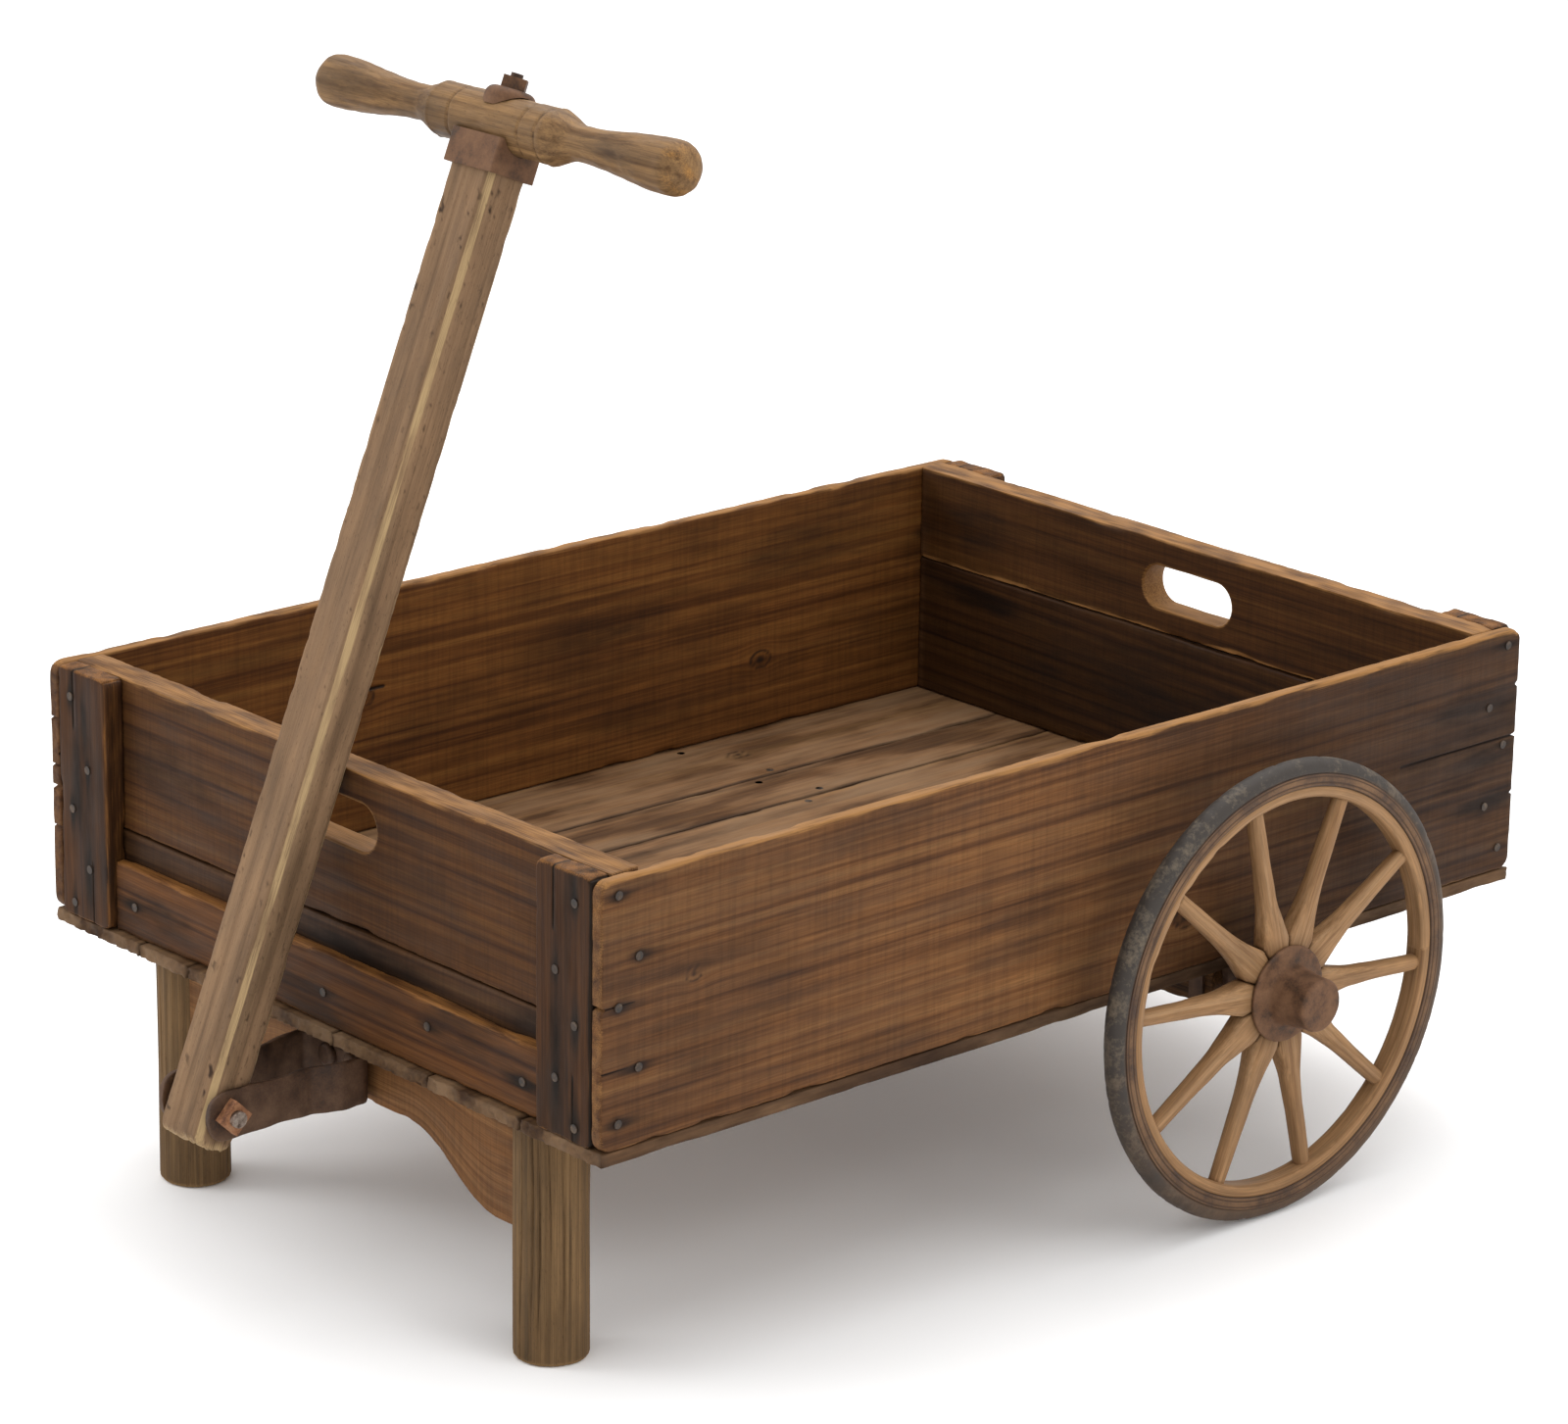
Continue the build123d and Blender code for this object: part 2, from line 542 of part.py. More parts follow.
def axle_bed():
    """Beam under the floor with the square axle let into its top."""
    y0, y1 = WHEEL_Y - BED_DEPTH / 2, WHEEL_Y + BED_DEPTH / 2
    beam = block(-BED_HALF, BED_HALF, y0, y1, FLOOR_UNDER - BED_HEIGHT, FLOOR_UNDER)
    groove = block(-HALF, HALF, WHEEL_Y - AXLE_SIDE / 2, WHEEL_Y + AXLE_SIDE / 2,
                   FLOOR_UNDER - AXLE_SIDE, FLOOR_UNDER)
    return beam - groove


def axle_clip(side):
    """Iron strap folded round the bed, with a foot against the floor at each side."""
    middle = side * (BED_HALF - CLIP_INSET)
    x0, x1 = middle - CLIP_WIDTH / 2, middle + CLIP_WIDTH / 2
    inner = BED_DEPTH / 2
    outer = inner + CLIP_THICK
    bed_under = FLOOR_UNDER - BED_HEIGHT
    band = block(x0, x1, WHEEL_Y - outer, WHEEL_Y + outer, bed_under - CLIP_THICK, FLOOR_UNDER)
    foot = outer + CLIP_FOOT
    band += block(x0, x1, WHEEL_Y - foot, WHEEL_Y + foot, FLOOR_UNDER - CLIP_THICK, FLOOR_UNDER)
    return band - block(x0, x1, WHEEL_Y - inner, WHEEL_Y + inner, bed_under, FLOOR_UNDER)


# ---- Wheel, drawn about X with its outer side towards +X ------------------------------
def wheel_disc(radius):
    """Solid disc on the wheel's axis, wider than the wheel."""
    return Rot(0, 90, 0) * Cylinder(radius, 4 * RIM_WIDTH)


def spoke():
    """Spoke from the hub bush to its tenon: round at the tip, a wedge between the plates."""
    outer_share, inner_share = SPOKE_ROOT_SHARES
    stations = [(FELLOE_INNER_R, SPOKE_TIP_D, SPOKE_TIP_D)]
    for at, wider, thicker in (SPOKE_WAIST, SPOKE_FLARE):
        stations.append((at * FELLOE_INNER_R, SPOKE_TIP_D + wider, SPOKE_TIP_D + thicker))
    stations.append((SPOKE_ROOT_AT * FELLOE_INNER_R, outer_share * HUB_FLANGE_R, SPOKE_HUB_THICK))
    stations.append((BUSH_R, inner_share * HUB_FLANGE_R, SPOKE_HUB_THICK))
    sections = [Pos(0, 0, r) * Ellipse(thick / 2, wide / 2) for r, wide, thick in stations]
    body = loft(sections)
    half_angle = math.pi / SPOKE_COUNT
    spread = FELLOE_OUTER_R * math.tan(half_angle)
    wedge = make_face(Polyline((0, 0), (spread, FELLOE_OUTER_R), (-spread, FELLOE_OUTER_R),
                               close=True))
    wedge = extrude(Plane.YZ * wedge, SPOKE_HUB_THICK / 2, both=True)
    inside_felloe = wheel_disc(FELLOE_INNER_R)
    root = TENON_START * FELLOE_INNER_R
    tenon = rod((0, 0, root), UP, TENON_D / 2, FELLOE_OUTER_R - root + TENON_D)
    shape = (body & wedge & inside_felloe) + (tenon & wheel_disc(FELLOE_OUTER_R))
    return shape - wheel_disc(BUSH_R)


def wheel_parts():
    """Every piece of one wheel, about the origin."""
    half, soft = FELLOE_WIDTH / 2, FELLOE_SOFT
    felloe = turned(Polyline((-half, FELLOE_OUTER_R), (-half, FELLOE_INNER_R + soft),
                             (-half + soft, FELLOE_INNER_R), (half - soft, FELLOE_INNER_R),
                             (half, FELLOE_INNER_R + soft), (half, FELLOE_OUTER_R), close=True))
    turn = 360 / SPOKE_COUNT
    one = spoke()
    spokes = [Rot(SPOKE_PHASE - 90 + turn * i, 0, 0) * one for i in range(SPOKE_COUNT)]
    mortise = rod((0, 0, 0), UP, TENON_D / 2, WHEEL_R)
    for i in range(SPOKE_COUNT):
        felloe -= Rot(SPOKE_PHASE - 90 + turn * i, 0, 0) * mortise

    wide = RIM_WIDTH / 2
    floor_r = FELLOE_OUTER_R + RIM_WALL
    inside = wide - RIM_WALL
    rim = turned(Polyline((-wide, FELLOE_OUTER_R), (wide, FELLOE_OUTER_R), (wide, RIM_R),
                          (inside, RIM_R), (inside, floor_r), (-inside, floor_r),
                          (-inside, RIM_R), (-wide, RIM_R), close=True))
    crown = TYRE_WIDTH / 2
    shoulder_r = WHEEL_R - TYRE_CROWN
    tread = ThreePointArc((crown, shoulder_r), (0, WHEEL_R), (-crown, shoulder_r))
    seat = Polyline((-crown, shoulder_r), (-inside, RIM_R), (-inside, floor_r),
                    (inside, floor_r), (inside, RIM_R), (crown, shoulder_r))
    tyre = turned(seat + tread)

    face = SPOKE_HUB_THICK / 2
    plate = face + HUB_PLATE
    hollow_x = NOSE_LENGTH - NOSE_END
    sleeve_r = BUSH_R + HUB_SLEEVE_WALL
    lip_r = HUB_FLANGE_R - HUB_LIP
    flare_out, flare_rise = NOSE_FLARE
    straight_x = NOSE_LENGTH - NOSE_STRAIGHT
    taper = ThreePointArc((plate, lip_r), (plate + flare_out, NOSE_R + flare_rise),
                          (straight_x, NOSE_R))
    shell_line = Polyline((straight_x, NOSE_R), (NOSE_LENGTH - NOSE_CHAMFER, NOSE_R),
                          (NOSE_LENGTH, NOSE_R - NOSE_CHAMFER), (NOSE_LENGTH, 0),
                          (hollow_x, 0), (hollow_x, NOSE_CAVITY_R),
                          (plate, NOSE_CAVITY_R), (plate, BUSH_R), (face, BUSH_R),
                          (face, HUB_FLANGE_R), (plate, HUB_FLANGE_R), (plate, lip_r))
    shell = turned(taper + shell_line)
    sleeve_end = -plate - HUB_SLEEVE_LENGTH
    back = turned(Polyline((-face, BUSH_R), (-face, HUB_FLANGE_R), (-plate, HUB_FLANGE_R),
                           (-plate, sleeve_r), (sleeve_end, sleeve_r),
                           (sleeve_end, BUSH_R), close=True))
    bore = SPINDLE_R + RUNNING_FIT
    bush = turned(Polyline((COLLAR_END - WHEEL_X, bore), (COLLAR_END - WHEEL_X, BUSH_R),
                           (BUSH_OUT, BUSH_R), (BUSH_OUT, bore), close=True))
    return {"tyre": tyre, "rim": rim, "felloe": felloe, "spokes": spokes, "hub_nose": shell,
            "hub_back": back, "hub_bush": bush}


# ---- Fastener patterns ----------------------------------------------------------------
def cleat_nails():
    """Zigzag row down each corner cleat, driven into the end boards."""
    nails = []
    for y, inward in ((0, 1), (BOX_LENGTH, -1)):
        for side in (-1, 1):
            for i, share in enumerate(CLEAT_NAIL_HEIGHTS):
                across = CLEAT_NAIL_ACROSS[(i + 1) % 2]
                x = side * (INSIDE - CLEAT_WIDTH * (1 - across))
                z = FLOOR_TOP + share * SIDE_HEIGHT
                nails.append(nail((x, y, z), (0, inward, 0), CLEAT_NAIL_LENGTH))
    return nails


def side_nails():
    """Zigzag row at each end of both side boards, driven into cleat and end board."""
    nails = []
    in_cleat, in_end = SIDE_NAIL_SHARES
    insets = (in_cleat * CLEAT_THICK, CLEAT_THICK + in_end * END_THICK)
    for side in (-1, 1):
        for near_front in (True, False):
            for i, share in enumerate(SIDE_NAIL_HEIGHTS):
                inset = insets[i % 2]
                y = inset if near_front else BOX_LENGTH - inset
                z = FLOOR_TOP + share * SIDE_HEIGHT
                nails.append(nail((side * HALF, y, z), (-side, 0, 0), SIDE_NAIL_LENGTH))
    return nails


def batten_nails():
    """Row along each low batten."""
    nails = []
    front = FRONT_FACE - BATTEN_THICK
    rear = REAR_FACE + BATTEN_THICK
    half = INSIDE - CLEAT_WIDTH
    for y, inward in ((front, 1), (rear, -1)):
        for i, share in enumerate(BATTEN_NAILS):
            z = FLOOR_TOP + BATTEN_HEIGHT * BATTEN_NAIL_HEIGHTS[i % 2]
            nails.append(nail((share * half, y, z), (0, inward, 0), BATTEN_NAIL_LENGTH))
    return nails


def floor_nails():
    """Flush nails up into the end boards and down into the axle bed."""
    nails = []
    seams = [-HALF, *SEAM_X, HALF]
    ends = (FRONT_FACE + END_THICK / 2, REAR_FACE - END_THICK / 2)
    off_axle = (AXLE_SIDE + BED_DEPTH) / 4
    for left, right in zip(seams, seams[1:]):
        low, high = max(left, -INSIDE), min(right, INSIDE)
        for x in (low + FLOOR_NAIL_INSET, high - FLOOR_NAIL_INSET):
            for y in ends:
                nails.append(nail((x, y, FLOOR_UNDER), UP, FLOOR_NAIL_LENGTH, 0))
        for x, y in ((low + FLOOR_NAIL_INSET, WHEEL_Y - off_axle),
                     (high - FLOOR_NAIL_INSET, WHEEL_Y + off_axle)):
            if abs(x) < BED_HALF - NAIL_HEAD_R:
                nails.append(nail((x, y, FLOOR_TOP), (0, 0, -1), FLOOR_NAIL_LENGTH, 0))
    return nails


def leg_screws():
    """Two screws down through the floor into each leg."""
    y = FRONT_FACE + END_THICK + SCREW_BACK + SCREW_HEAD_R
    spots = [side * LEG_X + step for side in (-1, 1) for step in (-SCREW_SPREAD, SCREW_SPREAD)]
    return [screw((x, y, FLOOR_TOP)) for x in spots]


# ---- Assembly -------------------------------------------------------------------------
def cart_nodes():
    """The box, its undercarriage and the yoke."""
    nodes = {"side_board_left": side_board(-1), "side_board_right": side_board(1)}
    nodes.update(end_boards())
    nodes.update(cleats())
    nodes.update(floor_boards())
    nodes["leg_left"] = leg(-1)
    nodes["leg_right"] = leg(1)
    nodes["brace"] = brace()
    nodes["axle_bed"] = axle_bed()

    groups = {"cleat_nails": cleat_nails(), "side_nails": side_nails(),
              "batten_nails": batten_nails(), "floor_nails": floor_nails(),
              "leg_screws": leg_screws()}
    yoke_bolts, yoke_nuts = yoke_fastening()
    pivot_bolt, pivot_nut = pivot_fastening()
    fasteners = [piece for group in groups.values() for piece in group] + yoke_bolts
    nodes = {name: drilled(wood, fasteners) for name, wood in nodes.items()}

    nodes["yoke"] = drilled(yoke(), yoke_bolts + [pivot_bolt])
    nodes["pivot_bolt"] = pivot_bolt
    nodes["pivot_nut"] = pivot_nut
    nodes["axle"] = axle()
    groups["yoke_bolts"] = yoke_bolts
    groups["yoke_nuts"] = yoke_nuts
    groups["axle_clips"] = [axle_clip(-1), axle_clip(1)]
    groups["axle_washers"], groups["axle_nuts"] = axle_ends()
    nodes.update(groups)
    return nodes


def handle_nodes():
    """The pole and its grip, leant back on the front board."""
    stud, washer, top_nut = grip_fastening()
    upright = {"pole": pole(), "ferrule": ferrule(), "grip": grip(), "grip_rod": stud,
               "grip_washer": washer, "grip_nut": top_nut}
    place = Pos(0, PIVOT_Y, PIVOT_Z) * Rot(-pole_lean(), 0, 0)
    return {name: place * shape for name, shape in upright.items()}


def wheel_nodes():
    """Both wheels; the left one is the right one turned half round."""
    nodes = {}
    parts = wheel_parts()
    places = {"left": Pos(-WHEEL_X, WHEEL_Y, WHEEL_R) * Rot(0, 0, 180),
              "right": Pos(WHEEL_X, WHEEL_Y, WHEEL_R)}
    for side, place in places.items():
        for name, shape in parts.items():
            many = isinstance(shape, list)
            nodes[f"{name}_{side}"] = [place * s for s in shape] if many else place * shape
    return nodes


def solids_of(shape):
    """The separate solids of one node."""
    shapes = shape if isinstance(shape, list) else [shape]
    return [solid for item in shapes for solid in item.solids()]


def main():
    nodes = {**cart_nodes(), **handle_nodes(), **wheel_nodes()}
    compounds = {name: Compound(children=solids_of(shape)) for name, shape in nodes.items()}
    extent = Compound(children=list(compounds.values())).bounding_box()
    middle = extent.center()
    origin = Pos(-middle.X, -middle.Y, -extent.min.Z)
    print(f"pole lean {pole_lean():.2f} deg, drawn origin moved by {origin.position}")
    print(f"size {extent.size}")
    os.makedirs("parts", exist_ok=True)
    for name, shape in nodes.items():
        pieces = [origin * solid for solid in solids_of(shape)]
        export_step(Compound(label=name, children=pieces), f"parts/{name}.step")


if __name__ == "__main__":
    main()
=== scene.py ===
import math

import bpy
import numpy as np
from mathutils import Matrix, Vector


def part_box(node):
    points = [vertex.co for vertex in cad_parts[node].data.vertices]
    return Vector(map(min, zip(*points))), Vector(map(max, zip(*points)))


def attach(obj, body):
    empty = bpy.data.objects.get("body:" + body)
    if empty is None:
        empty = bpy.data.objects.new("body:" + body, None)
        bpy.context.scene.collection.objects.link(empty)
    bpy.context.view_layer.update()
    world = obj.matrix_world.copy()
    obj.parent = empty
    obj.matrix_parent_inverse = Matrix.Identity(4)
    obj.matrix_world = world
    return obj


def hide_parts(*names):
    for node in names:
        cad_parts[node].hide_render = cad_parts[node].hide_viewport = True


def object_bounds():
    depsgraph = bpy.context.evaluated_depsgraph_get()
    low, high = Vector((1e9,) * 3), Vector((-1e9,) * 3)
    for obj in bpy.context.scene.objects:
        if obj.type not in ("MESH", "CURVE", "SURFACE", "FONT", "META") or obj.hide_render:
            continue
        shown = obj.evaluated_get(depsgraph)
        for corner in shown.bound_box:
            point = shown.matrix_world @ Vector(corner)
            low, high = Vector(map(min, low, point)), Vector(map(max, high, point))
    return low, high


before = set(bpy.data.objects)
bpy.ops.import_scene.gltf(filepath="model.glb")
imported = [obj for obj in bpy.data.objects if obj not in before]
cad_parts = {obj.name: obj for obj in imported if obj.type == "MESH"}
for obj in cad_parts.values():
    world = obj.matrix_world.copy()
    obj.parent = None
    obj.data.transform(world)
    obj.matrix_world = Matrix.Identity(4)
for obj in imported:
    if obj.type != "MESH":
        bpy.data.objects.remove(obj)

bl_info = {
    "name": "Old Board Cart",
    "version": (1, 0, 0),
    "blender": (4, 5, 0),
    "location": "3D View > Sidebar > Cart",
    "description": "Weathered boards, turned grip and iron-shod wheels round the packed cart",
    "category": "Object",
}

CAD_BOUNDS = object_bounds()
MM = 0.001
SIDES = {"left": -1, "right": 1}


# ---- Small tools ----------------------------------------------------------------------
def colour(code, alpha=True):
    """Linear colour of an sRGB hex value."""
    parts = [int(code[i:i + 2], 16) / 255 for i in (1, 3, 5)]
    linear = [c / 12.92 if c <= 0.04045 else ((c + 0.055) / 1.055) ** 2.4 for c in parts]
    return (*linear, 1.0) if alpha else tuple(linear)


def add(tree, kind, inputs=None, output=0, stops=None, **settings):
    """Adds a node with its settings; an input given as a socket is linked. Returns one output."""
    made = tree.nodes.new(kind)
    for key, value in settings.items():
        setattr(made, key, value)
    for key, value in (inputs or {}).items():
        if isinstance(value, bpy.types.NodeSocket):
            tree.links.new(value, made.inputs[key])
        else:
            made.inputs[key].default_value = value
    if stops:
        row = made.color_ramp.elements
        for number, (position, shade) in enumerate(stops):
            stop = row[number] if number < 2 else row.new(position)
            stop.position = position
            stop.color = shade
    return made.outputs[output]


def grey(value):
    return (value, value, value, 1.0)


def new_finish(name):
    """Empty material with its surface shader."""
    finish = bpy.data.materials.new(name)
    finish.use_nodes = True
    tree = finish.node_tree
    tree.nodes.clear()
    surface = tree.nodes.new("ShaderNodeBsdfPrincipled")
    end = tree.nodes.new("ShaderNodeOutputMaterial")
    tree.links.new(surface.outputs[0], end.inputs[0])
    return finish, tree, surface


def ripple(points, sizes, seed, waves=10):
    """Smooth noise from -1 to 1: sine waves in random directions, added up and divided by the
    square root of half their number. sizes gives the crest spacing along each axis."""
    rng = np.random.default_rng(seed)
    ways = rng.normal(size=(waves, points.shape[1]))
    ways /= np.linalg.norm(ways, axis=1)[:, None]
    ways *= 2 * np.pi * rng.uniform(0.55, 1.5, waves)[:, None]
    phases = rng.uniform(0, 2 * np.pi, waves)
    total = np.sin((points / np.asarray(sizes)) @ ways.T + phases).sum(1)
    return np.clip(total / math.sqrt(waves / 2) / 1.7, -1, 1)


def bell(distance, width):
    """1 at no distance, falling off like a Gaussian of that width."""
    return np.exp(-(distance / width) ** 2)


def ease(share):
    """Goes from 0 to 1 with level ends: three squares less two cubes."""
    return share * share * (3 - 2 * share)


def vertices_of(node):
    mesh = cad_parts[node].data
    flat = np.empty(len(mesh.vertices) * 3, np.float32)
    mesh.vertices.foreach_get("co", flat)
    return flat.reshape(-1, 3).astype(float)


def limits(node):
    low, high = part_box(node)
    return np.array(low), np.array(high)


def heads(node, axis):
    """Middles of the nail heads that lie at the two ends of an axis."""
    points = vertices_of(node)
    level = points[:, axis]
    rest = points[(level > level.max() - 0.3 * MM) | (level < level.min() + 0.3 * MM)]
    found = []
    while len(rest):
        near = np.linalg.norm(rest - rest[0], axis=1) < 8 * MM
        found.append(rest[near].mean(0))
        rest = rest[~near]
    return np.array(found)


# ---- Skins ----------------------------------------------------------------------------
def breaks(length, rim, step, lines=()):
    """Grid positions along one edge: close together at both ends, even between, plus lines."""
    near = rim * np.array([0.0, 0.35, 0.68])
    count = max(1, round((length - 2 * rim) / step))
    even = np.linspace(rim, length - rim, count + 1)
    lines = [line for line in lines if rim < line < length - rim]
    for line in lines:
        clash = np.abs(even - line) < 0.4 * MM
        clash[[0, -1]] = False
        even = even[~clash]
    return np.unique(np.concatenate([near, even, lines, length - near]))


def box_grid(u, v, w):
    """Skin of a box: the points of the product of u, v and w that lie on a face, with the
    quads between neighbours on each of the six faces."""
    shape = (len(u), len(v), len(w))
    i, j, k = np.indices(shape)
    skin = (i == 0) | (i == shape[0] - 1) | (j == 0) | (j == shape[1] - 1)
    skin |= (k == 0) | (k == shape[2] - 1)
    ids = np.full(shape, -1)
    ids[skin] = np.arange(skin.sum())
    points = np.stack([u[i[skin]], v[j[skin]], w[k[skin]]], 1)
    faces = []
    for sheet, back in ((ids[:, :, -1], False), (ids[:, :, 0], True), (ids[-1], False),
                        (ids[0], True), (ids[:, -1, :], True), (ids[:, 0, :], False)):
        quads = np.stack([sheet[:-1, :-1], sheet[1:, :-1], sheet[1:, 1:], sheet[:-1, 1:]], -1)
        quads = quads.reshape(-1, 4)
        faces.append(quads[:, ::-1] if back else quads)
    return points, np.concatenate(faces)


def loop_grid(rings):
    """Skin closed both ways: each ring is a closed section, and the last joins the first."""
    m, k = rings.shape[:2]
    i, j = np.arange(m)[:, None], np.arange(k)[None]
    after, beside = (i + 1) % m * k, (j + 1) % k
    quads = np.stack([i * k + j, i * k + beside, after + beside, after + j], -1)
    return rings.reshape(-1, 3), quads.reshape(-1, 4)


def tube(rings, start, end):
    """Closed skin: rings joined by quads, with a fan of triangles to start and to end."""
    m, k = rings.shape[:2]
    points = np.concatenate([rings.reshape(-1, 3), [start, end]])
    i, j = np.arange(m - 1)[:, None], np.arange(k)[None]
    beside = (j + 1) % k
    quads = np.stack([i * k + j, i * k + beside, (i + 1) * k + beside, (i + 1) * k + j], -1)
    j, beside = j[0], beside[0]
    first = np.stack([beside, j, np.full(k, m * k)], -1)
    last = np.stack([(m - 1) * k + j, (m - 1) * k + beside, np.full(k, m * k + 1)], -1)
    return points, quads.reshape(-1, 4).tolist() + first.tolist() + last.tolist()


def piece(name, points, faces, finish, body, replaces, marks=None):
    """Makes an object of a skin, turned outwards, and ties it to the frame."""
    faces = faces if isinstance(faces, list) else faces.tolist()
    fan = np.array([[f[0], f[n], f[n + 1]] for f in faces for n in range(1, len(f) - 1)])
    a, b, c = points[fan[:, 0]], points[fan[:, 1]], points[fan[:, 2]]
    if np.einsum("ij,ij->i", a, np.cross(b, c)).sum() < 0:
        faces = [face[::-1] for face in faces]
    mesh = bpy.data.meshes.new(name)
    mesh.from_pydata(points, [], faces)
    mesh.polygons.foreach_set("use_smooth", [True] * len(mesh.polygons))
    for key, values in (marks or {}).items():
        if values.ndim == 2:
            layer = mesh.attributes.new(key, "FLOAT_VECTOR", "POINT")
            layer.data.foreach_set("vector", values.astype(np.float32).ravel())
        else:
            layer = mesh.attributes.new(key, "FLOAT", "POINT")
            layer.data.foreach_set("value", values.astype(np.float32))
    mesh.materials.append(finish)
    mesh.update()
    made = bpy.data.objects.new(name, mesh)
    bpy.context.scene.collection.objects.link(made)
    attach(made, body)
    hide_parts(*replaces)
    return made


def dress(finish, *nodes):
    """Gives CAD nodes their finish."""
    for node in nodes:
        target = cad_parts[node]
        if not target.material_slots:
            target.data.materials.append(finish)
        for row in target.material_slots:
            row.material = finish


# ---- Boards ---------------------------------------------------------------------------
def rounded(points, size, rim, chamfer=False):
    """Rounds every arris: each point is pulled to a core smaller by rim on all sides, and set
    back rim away from it, measured straight for a round arris or by sum for a chamfer."""
    core = np.clip(points, rim, size - rim)
    away = points - core
    if chamfer:
        reach = np.maximum(np.abs(away[:, 1]) + np.abs(away[:, 2]), np.abs(away[:, 0]))
    else:
        reach = np.linalg.norm(away, axis=1)
    return core + away * (rim / np.maximum(reach, 1e-9))[:, None]


def round_corners(points, size, radius):
    """Rounds the outline of a board's face: in each corner square of side radius, a square
    ring about the square's inner corner becomes a circle."""
    flat = points[:, :2]
    core = np.clip(flat, radius, size[:2] - radius)
    away = flat - core
    longest = np.abs(away).max(1)
    length = np.maximum(np.linalg.norm(away, axis=1), 1e-9)
    points[:, :2] = core + away * (longest / length)[:, None]
    return points


def weathered(points, size, seed, chips=1.2, waves=0.5, ragged=0.8, ragged_size=7.0,
              notches=(), cracks=(), rim=2.0, corner=0.0):
    """Wears a board in its own frame, grain first, then width, then thickness. Every term only
    takes wood away: rounded arrises, bitten arrises, wavy edges, ragged ends, V notches in the
    ends and V cracks along the grain."""
    inward = np.where(points < size / 2, 1.0, -1.0)
    edge = np.minimum(points, size - points)
    which = np.round(points / size) * [0, 7.3, 5.1]
    lengthwise = np.stack([points[:, 0] / MM, which[:, 1] * 40, which[:, 2] * 40], 1)
    out = rounded(points, size, rim * MM)
    if corner:
        out = round_corners(out, size, corner * MM)
    arris = bell(np.hypot(edge[:, 1], edge[:, 2]), 3.2 * MM)
    bite = 1.6 * np.maximum(0, ripple(lengthwise, (52, 40, 40), seed) - 0.3) ** 1.5
    bite += 0.3 * np.maximum(0, ripple(lengthwise, (13, 40, 40), seed + 1) - 0.2)
    out[:, 1:] += inward[:, 1:] * (0.7 * chips * MM * bite * arris)[:, None]
    sway = 0.5 + 0.5 * ripple(lengthwise, (120, 40, 40), seed + 2)
    out[:, 1] += inward[:, 1] * waves * MM * sway * bell(edge[:, 1], 9 * MM)
    fray = 0.5 + 0.5 * ripple(points / MM, (60, ragged_size, ragged_size), seed + 3)
    fray = fray ** 1.5 + 0.2 * (0.5 + 0.5 * ripple(points / MM, (60, 3.4, 3.4), seed + 4))
    out[:, 0] += inward[:, 0] * ragged * MM * fray * bell(edge[:, 0], 5 * MM)
    for end, across, half, depth in notches:
        from_end = points[:, 0] if end == 0 else size[0] - points[:, 0]
        cut = np.clip(1 - np.abs(points[:, 1] - across * MM) / (half * MM), 0, 1)
        pull = np.clip(1 - from_end / (2.5 * depth * MM), 0, 1)
        out[:, 0] += inward[:, 0] * depth * MM * cut * pull
    for start, stop, across, wide, depth in cracks:
        share = np.clip((points[:, 0] / MM - start) / (stop - start), 0, 1)
        taper = np.sin(np.pi * np.clip(0.5 * (1 + share) if start < 1 else share, 0, 1)) ** 0.6
        taper = np.where((points[:, 0] < start * MM) | (points[:, 0] > stop * MM), 0, taper)
        cut = np.clip(1.6 * (1 - np.abs(points[:, 1] - across * MM) / (wide * MM)), 0, 1)
        on_face = edge[:, 2] < 0.1 * MM
        out[:, 2] += inward[:, 2] * depth * MM * cut * taper * on_face
    return out


def grain_of(points, seed, knots=()):
    """Grain coordinates: the board's own place, moved to its own piece of the tree, with the
    grain parting round each knot."""
    rng = np.random.default_rng(seed + 50)
    own = points.copy()
    for along, across, radius in knots:
        da, db = points[:, 0] - along * MM, points[:, 1] - across * MM
        squeeze = bell(da, 4 * radius * MM) * bell(db, 2.6 * radius * MM)
        own[:, 1] -= db * squeeze * 0.75
    tilt = rng.uniform(-0.02, 0.02)
    own[:, 1] += own[:, 0] * tilt
    return own + rng.uniform(1, 9, 3)


def worn_mask(points, size, seed, band, edges):
    """0 to 1, how far a surface is rubbed to pale wood: bands along the named edges, uneven in
    width, and the arrises. edges gives weights for start, end, low edge, high edge, arris."""
    start, end, low, high, arris = edges
    uneven = 0.75 + 0.5 * ripple(points / MM, (70, 60, 60), seed + 7)
    width = band * MM * uneven
    gaps = np.minimum(points, size - points)
    pairs = [bell(np.hypot(gaps[:, 1], gaps[:, 2]), 0.8 * width),
             bell(np.hypot(gaps[:, 0], gaps[:, 2]), 0.8 * width),
             bell(np.hypot(gaps[:, 0], gaps[:, 1]), 0.8 * width)]
    bands = [start * bell(points[:, 0], width), end * bell(size[0] - points[:, 0], width),
             low * bell(points[:, 1], width), high * bell(size[1] - points[:, 1], width)]
    rubbed = np.max([arris * pair for pair in pairs] + bands, axis=0)
    return np.clip(rubbed * (0.88 + 0.2 * ripple(points / MM, (40, 12, 12), seed + 8)), 0, 1)


